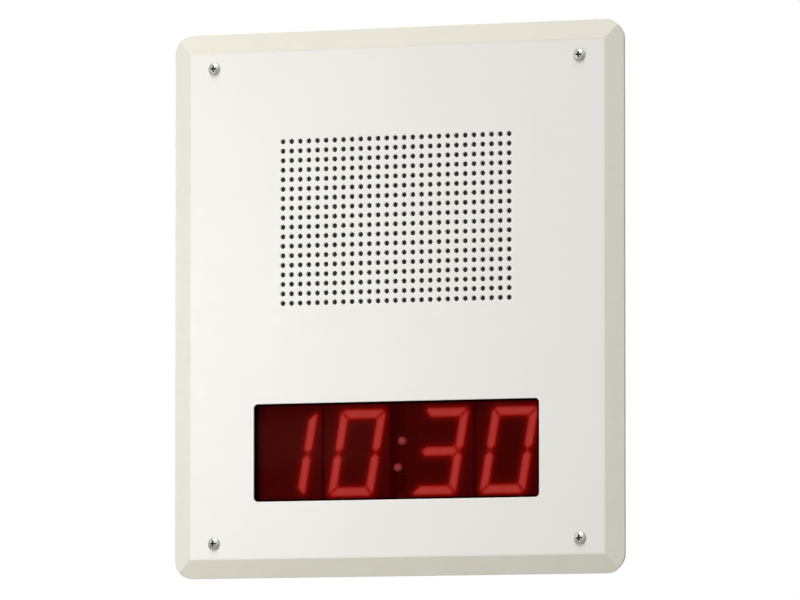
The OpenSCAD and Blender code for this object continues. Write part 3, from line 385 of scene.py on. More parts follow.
def shaped_tree(name, sockets):
    """A new geometry node tree with named inputs, and what its input node gives."""
    tree = bpy.data.node_groups.new(name, "GeometryNodeTree")
    for socket, kind in sockets.items():
        tree.interface.new_socket(socket, in_out="INPUT", socket_type=f"NodeSocket{kind}")
    tree.interface.new_socket("Geometry", in_out="OUTPUT", socket_type="NodeSocketGeometry")
    return tree, add(tree, "NodeGroupInput")


def rows_tree(name):
    """Rows and columns of one piece, such as grille holes, screws, leads and pins."""
    sockets = {"Piece": "Object", "Columns": "Int", "Rows": "Int"}
    sockets |= {"Pitch Across": "Float", "Pitch Up": "Float"}
    sockets |= {"Turn": "Vector", "Centre": "Vector", "Weld": "Float", "Finish": "Material"}
    tree, given = shaped_tree(name, sockets)
    lines = []
    for count, pitch, axis in (("Columns", "Pitch Across", "X"), ("Rows", "Pitch Up", "Z")):
        step = add(tree, "CombineXYZ", {axis: given[pitch]})[0]
        gaps = add(tree, "Math", [given[count], 1.0], operation="SUBTRACT")[0]
        half = add(tree, "Math", [gaps, -0.5], operation="MULTIPLY")[0]
        start = add(tree, "VectorMath", {0: step, "Scale": half}, operation="SCALE")[0]
        line = {"Count": given[count], "Start Location": start, "Offset": step}
        lines.append(add(tree, "GeometryNodeMeshLine", line)[0])
    spread = add(tree, "GeometryNodeInstanceOnPoints", {"Points": lines[0], "Instance": lines[1]})[0]
    places = add(tree, "GeometryNodeRealizeInstances", [spread])[0]
    piece = add(tree, "GeometryNodeObjectInfo", {"Object": given["Piece"]})["Geometry"]
    copies = {"Points": places, "Instance": piece, "Rotation": given["Turn"]}
    copies = add(tree, "GeometryNodeInstanceOnPoints", copies)[0]
    real = add(tree, "GeometryNodeRealizeInstances", [copies])[0]
    welded = add(tree, "GeometryNodeMergeByDistance", {0: real, "Distance": given["Weld"]})[0]
    placed = add(tree, "GeometryNodeTransform", {0: welded, "Translation": given["Centre"]})[0]
    done = add(tree, "GeometryNodeSetMaterial", {0: placed, "Material": given["Finish"]})[0]
    add(tree, "NodeGroupOutput", [done])
    return tree


def wire_tree(name):
    """A round wire swept along a curve."""
    sockets = {"Path": "Object", "Diameter": "Float", "Sides": "Int", "Finish": "Material"}
    tree, given = shaped_tree(name, sockets)
    path = add(tree, "GeometryNodeObjectInfo", {"Object": given["Path"]})["Geometry"]
    half = add(tree, "Math", [given["Diameter"], 0.5], operation="MULTIPLY")[0]
    circle = {"Resolution": given["Sides"], "Radius": half}
    circle = add(tree, "GeometryNodeCurvePrimitiveCircle", circle)[0]
    swept = {"Curve": path, "Profile Curve": circle, "Fill Caps": True}
    swept = add(tree, "GeometryNodeCurveToMesh", swept)[0]
    real = add(tree, "GeometryNodeRealizeInstances", [swept])[0]
    done = add(tree, "GeometryNodeSetMaterial", {0: real, "Material": given["Finish"]})[0]
    add(tree, "NodeGroupOutput", [done])
    return tree


def plain_mesh(host):
    """What an object's modifiers make of its mesh, as a plain mesh. The object is removed."""
    shapes = bpy.context.evaluated_depsgraph_get()
    mesh = bpy.data.meshes.new_from_object(
        host.evaluated_get(shapes), preserve_all_data_layers=True, depsgraph=shapes
    )
    bpy.data.objects.remove(host)
    return mesh


def grown(name, tree_name, maker, values):
    """The plain mesh that a node tree makes, with no modifier left. The tree is made on its first use."""
    host = show(name, bpy.data.meshes.new(name))
    modifier = host.modifiers.new(name, "NODES")
    modifier.node_group = bpy.data.node_groups.get(tree_name) or maker(tree_name)
    for item in modifier.node_group.interface.items_tree:
        if item.in_out == "INPUT":
            modifier[item.identifier] = values[item.name]
    mesh = plain_mesh(host)
    mesh.name = name
    return mesh


def repeated(name, mesh, columns, rows, across, up, centre, finish, weld=1e-7, turn=(0, 0, 0)):
    """Copies of one mesh in rows and columns, as a plain mesh."""
    one = show(f"{name}_one", mesh)
    values = {"Piece": one, "Columns": columns, "Rows": rows, "Pitch Across": across, "Pitch Up": up}
    values |= {"Turn": Euler(turn), "Centre": Vector(centre), "Weld": weld, "Finish": finish}
    made = grown(name, "Rows of Pieces", rows_tree, values)
    bpy.data.objects.remove(one)
    return made


def evened(mesh):
    """The same mesh with normals weighted by area, so that flat faces stay flat up to a rounded edge."""
    host = show(mesh.name, mesh)
    host.modifiers.new("even", "WEIGHTED_NORMAL").keep_sharp = True
    return plain_mesh(host)


def joined(name, *meshes, weld=0.0):
    """Several meshes as one, each with its own finishes and sharp edges."""
    work, finishes = bmesh.new(), []
    for mesh in meshes:
        known = len(work.faces)
        work.from_mesh(mesh)
        work.faces.ensure_lookup_table()
        slots = []
        for material in mesh.materials:
            if material not in finishes:
                finishes.append(material)
            slots.append(finishes.index(material))
        for face in work.faces[known:]:
            face.material_index = slots[face.material_index]
    if weld:
        bmesh.ops.remove_doubles(work, verts=work.verts, dist=weld)
        bmesh.ops.recalc_face_normals(work, faces=work.faces)
    mesh = bpy.data.meshes.new(name)
    work.to_mesh(mesh)
    work.free()
    for material in finishes:
        mesh.materials.append(material)
    return mesh


# Materials


def surface(name):
    """A new material, its empty node tree, and the place on the object that patterns follow."""
    material = bpy.data.materials.new(name)
    material.use_nodes = True
    tree = material.node_tree
    tree.nodes.clear()
    return material, tree, add(tree, "TexCoord")["Object"]


def coated(material, base, roughness, height=None, depth=0.0, strength=1.0, **sockets):
    """The material with its shader: colour, roughness, other sockets, and a relief whose height of 0 to 1 is
    that many millimetres deep."""
    tree = material.node_tree
    values = {"Base Color": base, "Roughness": roughness}
    values |= {key.replace("_", " "): value for key, value in sockets.items()}
    if height is not None:
        bump = {"Height": height, "Distance": depth * MM, "Strength": strength}
        values["Normal"] = add(tree, "Bump", bump)[0]
    add(tree, "OutputMaterial", [add(tree, "BsdfPrincipled", values)[0]])
    return material


def mottled(tree, place, size, base, patch, detail=2.0, low=0.3, high=0.7, most=1.0):
    """A base colour with soft patches of another, sized in millimetres, up to a largest share."""
    cloud = add(tree, "TexNoise", {"Vector": place, "Scale": 1000 / size, "Detail": detail})[0]
    share = add(tree, "MapRange", [cloud, low, high, 0.0, most])[0]
    return add(tree, "Mix", {0: share, 6: base, 7: patch}, data_type="RGBA")[2]


def grained(tree, place, size, low, high):
    """A fine noise sized in millimetres, and the same noise spread between two values."""
    grain = add(tree, "TexNoise", {"Vector": place, "Scale": 1000 / size})[0]
    return grain, add(tree, "MapRange", [grain, 0.3, 0.7, low, high])[0]


def ridges(tree, along, pitch):
    """Even ridges at that pitch in millimetres, as a wave from -1 to 1 along one axis."""
    turns = add(tree, "Math", [along, 2 * math.pi * 1000 / pitch], operation="MULTIPLY")[0]
    return add(tree, "Math", [turns], operation="SINE")[0]


def outside(tree, place, width, height, z, near, far):
    """0 inside an upright rectangle and 1 outside it, changing between two distances from its edge."""
    axes, past = add(tree, "SeparateXYZ", [place]), []
    for axis, at, half in ((0, 0.0, width / 2), (2, z, height / 2)):
        off = add(tree, "Math", [axes[axis], at], operation="SUBTRACT")[0]
        off = add(tree, "Math", [off], operation="ABSOLUTE")[0]
        past.append(add(tree, "Math", [off, half], operation="SUBTRACT")[0])
    most = add(tree, "Math", past, operation="MAXIMUM")[0]
    return add(tree, "MapRange", [most, near, far])[0]


# Finishes of one grain: colours, roughness, metallic, grain and relief in millimetres
PLAIN_FINISHES = {
    # Zinc plated steel: cool bright grey, with a fine pickled grain and a dull bloom in patches
    "zinc_plated_steel": (("C6CACD", "B3B4AE"), (0.28, 0.42), 1.0, 0.5, 0.004),
    # Yellow passivated zinc: the same, with a straw tint
    "yellow_zinc_steel": (("CDBE8C", "B9AE93"), (0.26, 0.4), 1.0, 0.6, 0.004),
    # Tin plated brass and pins: warm, soft gloss
    "tin_plated_brass": (("D6D4CC", "C5C2B8"), (0.2, 0.34), 1.0, 0.4, 0.003),
    # Hard gold over nickel: contact wires
    "gold_plated_bronze": (("E3BC63", "D6AB52"), (0.16, 0.26), 1.0, 0.3, 0.002),
    # Drawn nickel silver can: bright and smooth
    "nickel_silver_can": (("CFCDC6", "BDBBB4"), (0.14, 0.26), 1.0, 0.8, 0.003),
    # Black anodised aluminium: satin, with a little blue
    "black_anodised_aluminium": (("24262A", "2D2F33"), (0.32, 0.46), 0.6, 0.4, 0.004),
    # Glass filled nylon, moulded: dark and slightly mottled by its fibres
    "glass_filled_nylon": (("1D1E20", "28292B"), (0.42, 0.58), 0.0, 0.5, 0.01),
    # Natural nylon, moulded: waxy off-white
    "natural_nylon": (("E6E1D2", "DAD3C0"), (0.4, 0.52), 0.0, 0.7, 0.006),
    # Epoxy moulding compound of a chip: dull black, with the mould's spark texture
    "moulded_epoxy": (("232426", "2B2B2C"), (0.5, 0.66), 0.0, 0.18, 0.006),
    # Sintered ferrite: charcoal, matt, faintly speckled
    "sintered_ferrite": (("3C3E40", "4A4B4B"), (0.55, 0.72), 0.1, 0.6, 0.012),
    # Black stoved enamel of the pressed basket: thin gloss that follows the steel
    "stoved_black_enamel": (("1E2023", "27292C"), (0.3, 0.44), 0.0, 1.2, 0.01),
    # Punched phenolic sheet: brown, with paper fibres
    "phenolic_sheet": (("8A5A34", "74482A"), (0.45, 0.6), 0.0, 0.5, 0.008),
    # Pressed paper pulp of the cone: charcoal felt with visible fibres
    "pressed_paper_pulp": (("37373A", "474747"), (0.78, 0.92), 0.0, 0.9, 0.05),
    # Polyester tape round a winding: yellow, glossy
    "polyester_tape": (("D9B23C", "CFA22F"), (0.22, 0.34), 0.0, 2.0, 0.01),
    # Green passivated earthing screw
    "green_passivated_steel": (("4E9A55", "3F8448"), (0.3, 0.44), 0.8, 0.6, 0.004),
    # Green tinted epoxy of a link lamp: clear and glossy
    "green_lamp_epoxy": (("58B45C", "3F9C4A"), (0.08, 0.16), 0.0, 1.5, 0.002),
    # Orange acetal of the reset button
    "orange_acetal": (("D8662C", "C85A26"), (0.3, 0.42), 0.0, 0.6, 0.006),
    # Red and black PVC of the speaker's leads: satin, slightly dusty
    "red_pvc": (("B5241F", "A01D1A"), (0.36, 0.5), 0.0, 0.8, 0.008),
    "black_pvc": (("1C1C1E", "27272A"), (0.36, 0.5), 0.0, 0.8, 0.008),
    # Shrunk PVC sleeve of a capacitor: dark blue, glossy
    "can_sleeve_pvc": (("1D2C57", "24356A"), (0.2, 0.32), 0.0, 1.6, 0.006),
    # Drawn aluminium of a capacitor's top
    "drawn_aluminium": (("D4D6D8", "C6C8CA"), (0.24, 0.36), 1.0, 0.5, 0.004),
    # Butyl rubber of the cone's surround: soft black with a grey bloom
    "butyl_rubber": (("202022", "2C2C2D"), (0.55, 0.7), 0.0, 0.7, 0.012),
    # Vulcanised rubber of the cable grommet: black, dull, with a moulded skin
    "vulcanised_rubber": (("1B1B1C", "262626"), (0.58, 0.74), 0.0, 0.8, 0.015),
    # Barium ferrite magnet: dark grey ceramic, ground flat
    "ground_barium_ferrite": (("46484A", "555654"), (0.5, 0.68), 0.15, 0.4, 0.01),
}


def plain(name):
    """One of the plain finishes, of two close colours in a fine grain. It is made when first asked for."""
    made = bpy.data.materials.get(name)
    if made:
        return made
    codes, rough, metallic, grain, depth = PLAIN_FINISHES[name]
    material, tree, place = surface(name)
    tone = mottled(tree, place, grain * 12, linear(codes[0]), linear(codes[1]), 3.0)
    fine, gloss = grained(tree, place, grain, *rough)
    return coated(material, tone, gloss, fine, depth, Metallic=metallic)


def screw_plate(name, codes):
    """Plated steel of a screw: grey, with a fine grain, and painted dark in the recess: partly grime, partly
    painted shade.
    """
    material, tree, place = surface(name)
    deep = add(tree, "Attribute", attribute_name="recess")["Fac"]
    tone = mottled(tree, place, 2.5, linear(codes[0]), linear(codes[1]), 3.0)
    # Darker in the recess: partly grime, partly painted shade.
    tone = add(tree, "Mix", {0: deep, 6: tone, 7: linear("343230")}, data_type="RGBA")[2]
    grain, wear = grained(tree, place, 0.3, 0.3, 0.44)
    wear = add(tree, "Math", [deep, 0.25, wear], operation="MULTIPLY_ADD")[0]
    return coated(material, tone, wear, grain, 0.004, Metallic=1.0)


def powder_coat(sizes, paints):
    """Baked polyester powder on steel: even off-white with fine orange peel, a soft gloss, and on the sloped
    border a creamier, darker, slightly handled tone; that darker tone is partly painted shade of the slope."""
    material, tree, place = surface("powder_coated_steel")
    flat = [2 * (side - sizes.border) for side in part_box("front_panel")[1]]
    # The sloped border takes the darker border tone, partly painted shade of the slope.
    border = outside(tree, place, flat[0], flat[2], 0.0, -1.2 * MM, 0.4 * MM)
    tone = add(tree, "Mix", {0: border, 6: paints.paint, 7: paints.border_paint}, data_type="RGBA")[2]
    tone = mottled(tree, place, 60, tone, linear("C9C3B4"), 4.0, 0.35, 0.65, 0.05)
    dust = add(tree, "TexNoise", {"Vector": place, "Scale": 1000 / 7, "Detail": 5.0})[0]
    handled = add(tree, "MapRange", [dust, 0.45, 0.8, 0.0, 0.08])[0]
    handled = add(tree, "Math", [border, handled], operation="MULTIPLY")[0]
    tone = add(tree, "Mix", {0: handled, 6: tone, 7: linear("BDB49F")}, data_type="RGBA")[2]
    gloss = add(tree, "MapRange", [dust, 0.3, 0.7, 0.44, 0.54])[0]
    peel = add(tree, "TexNoise", {"Vector": place, "Scale": 1000 / 1.6, "Detail": 1.0})[0]
    return coated(material, tone, gloss, peel, 0.02, 0.6)


def red_acrylic(sizes, paints):
    """Cast red filter acrylic: it passes deep red and shows next to nothing else, and its face is
    anti-glare, so it mirrors faintly at a low angle only. Within about 1.7 mm of its rim it passes a much
    darker red: painted shade of the window's edge on the digits behind."""
    material, tree, place = surface("red_filter_acrylic")
    facing = add(tree, "LayerWeight", {"Blend": 0.5})["Facing"]
    glare = add(tree, "Math", [facing, 5.0], operation="POWER")[0]
    glare = add(tree, "Math", [glare, 0.35, 0.0003], operation="MULTIPLY_ADD")[0]
    window = sizes.window_width, sizes.window_height, middle("display_lens").z
    # A darker band along the rim: painted shade of the window's edge on what lies behind.
    rim = outside(tree, place, *window, -1.7 * MM, -0.5 * MM)
    tint = add(tree, "Mix", {0: rim, 6: paints.lens, 7: linear("5A2426")}, data_type="RGBA")[2]
    through = add(tree, "BsdfTransparent", {"Color": tint})[0]
    haze = add(tree, "TexNoise", {"Vector": place, "Scale": 1000 / 0.5, "Detail": 1.0})[0]
    bump = add(tree, "Bump", {"Height": haze, "Distance": 0.001 * MM, "Strength": 0.5})[0]
    gloss = {"Color": linear("FFFFFF"), "Roughness": 0.06, "Normal": bump}
    gloss = add(tree, "BsdfAnisotropic", gloss)[0]
    add(tree, "OutputMaterial", [add(tree, "MixShader", [glare, through, gloss])[0]])
    return material


def lit_epoxy(paints):
    """Diffusing epoxy of a lit segment: brightest over its lamp chips and along its middle."""
    material, tree, place = surface("lit_diffusing_epoxy")
    glow = add(tree, "Attribute", attribute_name="glow")["Fac"]
    shade = grained(tree, place, 3, 0.94, 1.04)[1]
    level = add(tree, "Math", [glow, shade], operation="MULTIPLY")[0]
    light = add(tree, "Mix", {0: level, 6: linear("8C1C14"), 7: paints.segment}, data_type="RGBA")[2]
    return coated(material, linear("7A2A24"), 0.5, Emission_Color=light, Emission_Strength=1.0)


def spilled_light(tree, paints):
    """The light that lit segments spill on what is round them, by the share that the mesh keeps."""
    spill = add(tree, "Attribute", attribute_name="spill")["Fac"]
    spill = add(tree, "Math", [spill, 0.02], operation="ADD")[0]
    return add(tree, "Mix", {0: spill, 6: (0, 0, 0, 1), 7: paints.spill}, data_type="RGBA")[2]


def digit_face(paints):
    """Matt grey face of a moulded digit, lit red by what its segments spill."""
    material, tree, place = surface("moulded_digit_shell")
    tone = mottled(tree, place, 9, paints.digit, linear("3C383A"))
    grain, gloss = grained(tree, place, 0.5, 0.52, 0.66)
    light = spilled_light(tree, paints)
    return coated(material, tone, gloss, grain, 0.01, Emission_Color=light, Emission_Strength=1.0)


def unlit_epoxy(paints):
    """The same epoxy with no light in it: greyish, glossier and hardly apart from the face round it."""
    material, tree, place = surface("unlit_diffusing_epoxy")
    tone = mottled(tree, place, 2, linear("413C3E"), linear("3C373A"))
    light = spilled_light(tree, paints)
    return coated(material, tone, 0.55, Emission_Color=light, Emission_Strength=1.0)


def colon_epoxy(paints):
    """Tinted epoxy of the colon's lamps: a soft pinkish light, weaker than the segments."""
    material, tree, place = surface("colon_lamp_epoxy")
    edge = add(tree, "LayerWeight", {"Blend": 0.5})["Facing"]
    cloud = grained(tree, place, 2, 0.0, 0.12)[1]
    level = add(tree, "Math", [edge, 1.3, cloud], operation="MULTIPLY_ADD")[0]
    light = add(tree, "Mix", {0: level, 6: paints.colon, 7: linear("4A1418")}, data_type="RGBA")[2]
    return coated(material, linear("7C3A40"), 0.3, Emission_Color=light, Emission_Strength=1.0)


def galvanised_sheet(paints):
    """Hot dip galvanised sheet: grey zinc crystals about 9 mm across, each with its own sheen."""
    material, tree, place = surface("galvanised_sheet")
    cells = add(tree, "TexVoronoi", {"Vector": place, "Scale": 1000 / 9})
    pick = add(tree, "SeparateColor", [cells["Color"]])
    tone = add(tree, "Mix", {0: pick[0], 6: paints.sheet_steel, 7: linear("939698")}, data_type="RGBA")[2]
    tone = mottled(tree, place, 45, tone, linear("888782"), 4.0, 0.45, 0.75, 0.3)
    gloss = add(tree, "MapRange", [pick[1], 0.0, 1.0, 0.46, 0.58])[0]
    return coated(material, tone, gloss, cells["Distance"], 0.02, 0.25, Metallic=1.0)


def circuit_laminate(name, bare_to):
    """Board under green solder mask: copper tracks 0.6 mm wide show through as lighter green. In front of
    the depth bare_to the board is single sided, and shows its tan laminate."""
    material, tree, place = surface(name)
    axes = add(tree, "SeparateXYZ", [place])
    areas = add(tree, "TexVoronoi", {"Vector": place, "Scale": 1000 / 16}, distance="CHEBYCHEV")["Color"]
    pick = add(tree, "SeparateColor", [areas])
    across, up = (add(tree, "MapRange", [ridges(tree, axes[i], 1.27), 0.1, 0.3])[0] for i in (0, 2))
    upright = add(tree, "Math", [pick[0], 0.5], operation="GREATER_THAN")[0]
    track = add(tree, "Mix", {0: upright, 2: up, 3: across})[0]
    laid = add(tree, "Math", [pick[1], 0.42], operation="GREATER_THAN")[0]
    track = add(tree, "Math", [track, laid], operation="MULTIPLY")[0]
    tone = add(tree, "Mix", {0: track, 6: linear("1A5233"), 7: linear("2C7A4A")}, data_type="RGBA")[2]
    tone = mottled(tree, place, 12, tone, linear("123D26"), most=0.2)
    masked = add(tree, "Math", [axes[1], bare_to], operation="GREATER_THAN")[0]
    tone = add(tree, "Mix", {0: masked, 6: linear("C9AE74"), 7: tone}, data_type="RGBA")[2]
    raised = add(tree, "Math", [track, masked], operation="MULTIPLY")[0]
    return coated(material, tone, 0.34, raised, 0.03)


def woven(name, codes, thread, depth, rough, sheen):
    """Plain woven cloth: threads over and under each other, at that spacing in millimetres. The threads are
    drawn coarser than real ones, so that the weave shows. The gaps between threads are painted darker, as
    painted shade."""
    material, tree, place = surface(name)
    axes = add(tree, "SeparateXYZ", [place])
    across, up = (ridges(tree, axes[i], 2 * thread) for i in (0, 2))
    over = add(tree, "Math", [across, up], operation="MULTIPLY")[0]
    ridge = add(tree, "Math", [over], operation="ABSOLUTE")[0]
    warp = add(tree, "Math", [over, 0.0], operation="GREATER_THAN")[0]
    tone = add(tree, "Mix", {0: warp, 6: linear(codes[0]), 7: linear(codes[1])}, data_type="RGBA")[2]
    # Darker in the gaps between threads: painted shade.
    gap = add(tree, "MapRange", [ridge, 0.0, 0.25, 1.0, 0.0])[0]
    tone = add(tree, "Mix", {0: gap, 6: tone, 7: linear(codes[2])}, data_type="RGBA")[2]
    height = add(tree, "Math", [warp, 0.3, ridge], operation="MULTIPLY_ADD")[0]
    return coated(material, tone, rough, height, depth, Sheen_Weight=sheen)


def closed_cell_foam():
    """Closed cell foam: charcoal, with cells about 0.8 mm across cut open at its skin, their pits painted
    darker as painted shade.
    """
    material, tree, place = surface("closed_cell_foam")
    cells = add(tree, "TexVoronoi", {"Vector": place, "Scale": 1000 / 0.8})["Distance"]
    pit = add(tree, "MapRange", [cells, 0.1, 0.6])[0]
    # Darker in the cells' pits: painted shade.
    tone = add(tree, "Mix", {0: pit, 6: linear("202022"), 7: linear("3B3B3C")}, data_type="RGBA")[2]
    return coated(material, tone, 0.85, pit, 0.12)


def threaded_stud():
    """Copper flashed weld stud: rolled thread of 0.6 mm pitch, warm bright metal, painted darker in the
    thread's roots as painted shade.
    """
    material, tree, place = surface("copper_flashed_stud")
    thread = ridges(tree, add(tree, "SeparateXYZ", [place])[1], 0.6)
    crest = add(tree, "MapRange", [thread, -1.0, 1.0])[0]
    # Darker in the thread's roots: painted shade.
    tone = add(tree, "Mix", {0: crest, 6: linear("96613F"), 7: linear("D3A07C")}, data_type="RGBA")[2]
    gloss = grained(tree, place, 1, 0.24, 0.38)[1]
    return coated(material, tone, gloss, crest, 0.18, Metallic=1.0)


def wound_coil():
    """Enamelled copper wire wound on an aluminium former: turns 0.25 mm apart, painted darker between the
    turns as painted shade.
    """
    material, tree, place = surface("enamelled_copper_winding")
    along = add(tree, "SeparateXYZ", [place])[1]
    start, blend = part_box("voice_coil")[1].y - 8.4 * MM, 0.5 * MM
    wire = add(tree, "MapRange", [along, start, start + blend])[0]
    crest = add(tree, "MapRange", [ridges(tree, along, 0.25), -1.0, 1.0])[0]
    # Darker between the turns: painted shade.
    copper = add(tree, "Mix", {0: crest, 6: linear("7E4524"), 7: linear("C87F4B")}, data_type="RGBA")[2]
    tone = add(tree, "Mix", {0: wire, 6: linear("C9CCD0"), 7: copper}, data_type="RGBA")[2]
    raised = add(tree, "Math", [crest, wire], operation="MULTIPLY")[0]
    return coated(material, tone, 0.28, raised, 0.06, Metallic=1.0)


# Front panel


def face_depth(sizes, width, height, front):
    """How deep the panel's front lies at a point: flat, then a bend, then the sloped border. Half the flat
    face's sizes and the steps of the bend follow."""
    slope = math.atan2(sizes.drop, sizes.border)
    run = [side / 2 - sizes.border - sizes.bend * math.tan(slope / 2) for side in (width, height)]
    end = sizes.bend * math.sin(slope)

    def depth(x, z):
        past = max(abs(x) - run[0], abs(z) - run[1])
        if past <= 0:
            return front
        if past < end:
            return front + sizes.bend - math.sqrt(sizes.bend**2 - past**2)
        return front + sizes.bend * (1 - math.cos(slope)) + (past - end) * math.tan(slope)

    return depth, run, [sizes.bend * math.sin(slope * i / 5) for i in range(6)]


def hole_tile(sizes, front, finish):
    """One square of the grille with its hole: the rim is rolled over by the paint."""
    sides, half, edge = 16, sizes.pitch / 2, sizes.edge * 0.8
    radius, back = sizes.hole / 2, front + sizes.sheet
    rim = [(radius + into, front + deep) for into, deep in rolled(edge)] + [(radius, back)]
    shell = Shell()
    shell.bands(*(at_depth(ring(r, sides), y) for r, y in rim))
    corners = [(half, half), (-half, half), (-half, -half), (half, -half)]
    for loop, y in ((ring(radius + edge, sides), front), (ring(radius, sides), back)):
        points = at_depth([*corners, *loop], y)
        quarter = sides // 4
        faces = []
        for k in range(4):
            faces += [(k, 4 + k * quarter + i, 4 + (k * quarter + i + 1) % sides) for i in range(quarter)]
            faces.append((k, 4 + (k + 1) * quarter % sides, (k + 1) % 4))
        shell.take(points, faces)
    return shell.mesh("grille_tile", [finish], sharp=50)


def pressed_panel(sizes, paints):
    """The pressed steel front panel with its perforated grille."""
    finish = powder_coat(sizes, paints)
    low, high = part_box("front_panel")
    width, height, front = high.x - low.x, high.z - low.z, low.y
    depth, run, bends = face_depth(sizes, width, height, front)
    grille_z, window_z = middle("grille_cloth").z, middle("display_lens").z
    shell, steps, edge = Shell(), 12, sizes.edge
    outer = rounded(width, height, sizes.corner, steps)
    window = rounded(sizes.window_width, sizes.window_height, sizes.window_corner, 8, (0, window_z))
    holes = four_holes("panel_screws", sizes.screw_hole, 28)
    roll = [(1 - math.sin(a), 1 - math.cos(a)) for a in np.radians((0, 18, 36, 54, 72, 90))]
    for sign, loop in [(1, outer), (-1, window), *((-1, hole) for hole in holes)]:
        rows = []
        for into, deep in roll:
            rows.append([(x, depth(x, z) + edge * deep, z) for x, z in inset(loop, sign * edge * into)])
        shell.bands(*rows, [(x, depth(x, z) + sizes.sheet, z) for x, z in loop])
    field = (sizes.columns * sizes.pitch / 2, sizes.rows * sizes.pitch / 2)
    across = [i * sizes.pitch - field[0] for i in range(sizes.columns + 1)]
    up = [i * sizes.pitch - field[1] + grille_z for i in range(sizes.rows + 1)]
    grille = [(x, up[0]) for x in across] + [(across[-1], z) for z in up[1:]]
    grille += [(x, up[-1]) for x in across[-2::-1]] + [(across[0], z) for z in up[-2:0:-1]]
    offsets = [-0.8 * MM, *bends, bends[-1] + 0.8 * MM]
    for into, sheet in ((edge, 0.0), (0.0, sizes.sheet)):
        loops = [inset(outer, into), inset(window, -into), *(inset(hole, -into) for hole in holes), grille]
        rings = [rounded(2 * (run[0] + o), 2 * (run[1] + o), 0.0, 0) for o in offsets]
        mitres = [[*(r[k] for r in rings), loops[0][k * (steps + 1) + steps // 2]] for k in range(4)]
        rings += [inset(hole, -into - 0.6 * MM) for hole in (window, *holes)]
        lines = [[*r, r[0]] for r in rings] + mitres
        shell.cap(loops, lambda x, z, sheet=sheet: depth(x, z) + sheet, lines)
    sheet = shell.mesh("panel_sheet", [finish], sharp=17)
    rows = sizes.columns, sizes.rows, sizes.pitch, sizes.pitch
    tiles = repeated("grille", hole_tile(sizes, front, finish), *rows, (0, 0, grille_z), finish, 2e-6)
    panel = show("panel", evened(joined("panel", sheet, tiles, weld=4e-6)))
    fit(panel, "front_panel")


# Screws


def pan_screw(name, finish, head, rise, shank, reach, pitch):
    """A pan head screw that seats at the origin, with its shank along +Y: a domed head with a tapered cross
    recess, and a thread whose turns are drawn as rings."""
    shell = Shell()
    radius, crown = head / 2, rise * 0.55
    ball = (radius**2 + crown**2) / (2 * crown)

    def dome(x, z):
        return -rise + ball - math.sqrt(max(ball**2 - x * x - z * z, 0.0))

    arm, half, soft_edge, floor = head * 0.28, head * 0.07, head * 0.02, -rise * 0.35
    cross = [(arm, -half), (arm, half), (half, half), (half, arm), (-half, arm), (-half, half)]
    cross += [(-arm, half), (-arm, -half), (-half, -half), (-half, -arm), (half, -arm), (half, -half)]
    soft = inset(cross, -soft_edge)
    rim = ring(radius - 0.12 * rise, 40)
    inner = [p for k in (0.55, 0.75) for p in ring(radius * k, 24)]
    shell.cap([rim, soft], dome, inner=[p for p in inner if max(abs(p[0]), abs(p[1])) > arm * 1.1])
    low = [tuple(v * (0.55 if abs(v) > half else 0.7) for v in point) for point in cross]
    lip = at_depth(cross, lambda x, z: dome(x, z) + soft_edge)
    shell.bands(at_depth(soft, dome), lip, at_depth(low, floor))
    shell.cap([low], floor)
    shell.bands(
        at_depth(rim, dome),
        at_depth(ring(radius, 40), crown - 0.9 * rise),
        at_depth(ring(radius, 40), -0.06 * rise),
        at_depth(ring(radius - 0.06 * rise, 40), 0.0),
    )
    steps, crest, root = 20, shank / 2, shank / 2 * 0.88
    shell.cap([ring(radius - 0.06 * rise, 40), ring(root, steps)], 0.0)
    thread = [(crest if i % 2 else root, i * pitch / 2) for i in range(2 * int(reach / pitch) - 1)]
    thread.append((crest * 0.8, reach))
    shell.bands(*(at_depth(ring(r, steps), y) for r, y in thread))
    shell.cap([ring(crest * 0.8, steps)], reach)
    mesh = shell.mesh(name, [finish], sharp=40)
    # How far down the recess each point lies: the finish paints it dark there, partly grime, partly painted
    # shade.
    below = []
    for x, y, z in (v.co for v in mesh.vertices):
        below.append(y - dome(x, z) if math.hypot(x, z) < arm * 1.15 and y < 0 else 0.0)
    keep_values(mesh, "recess", np.clip(np.array(below) / (0.25 * rise), 0, 1))
    return mesh


def keep_values(mesh, name, values):
    """Keeps a number at each point of a mesh, for its material to read."""
    mesh.attributes.new(name, "FLOAT", "POINT").data.foreach_set("value", np.array(values, np.float32))


def fixings():
    """Corner screws, board screws and speaker screws, each a group of four. The head's height, the shank's
    width and reach and the thread's pitch are in millimetres."""
    nickel = screw_plate("dull_nickel_plate", ("BFBDB8", "A7A5A0"))
    zinc = screw_plate("bright_zinc_plate", ("C6CACD", "B3B4AE"))
    for name, node, rise, shank, reach, pitch, from_behind, slot, finish in (
        ("corner_screws", "panel_screws", 2.46, 3.9, 14.0, 0.7, False, "screw_dark", nickel),
        ("board_screws", "board_screws", 2.0, 2.9, 6.0, 0.5, True, "zinc_steel", zinc),
        ("speaker_screws", "speaker_screws", 2.2, 3.9, 3.9, 0.7, True, "zinc_steel", zinc),
    ):
        head, rise = WIDTHS[node], rise * MM
        one = pan_screw(f"{name}_one", finish, head, rise, shank * MM, reach * MM, pitch * MM)
        low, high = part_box(node)
        seat = (low + high) / 2
        seat.y = high.y - rise if from_behind else low.y + rise
        turn = (0, 0, math.pi) if from_behind else (0, 0, 0)
        across, up = high.x - low.x - head, high.z - low.z - head
        mesh = repeated(name, one, 2, 2, across, up, seat, finish, turn=turn)
        fit(show(f"{name}_group", mesh), node)


# Display


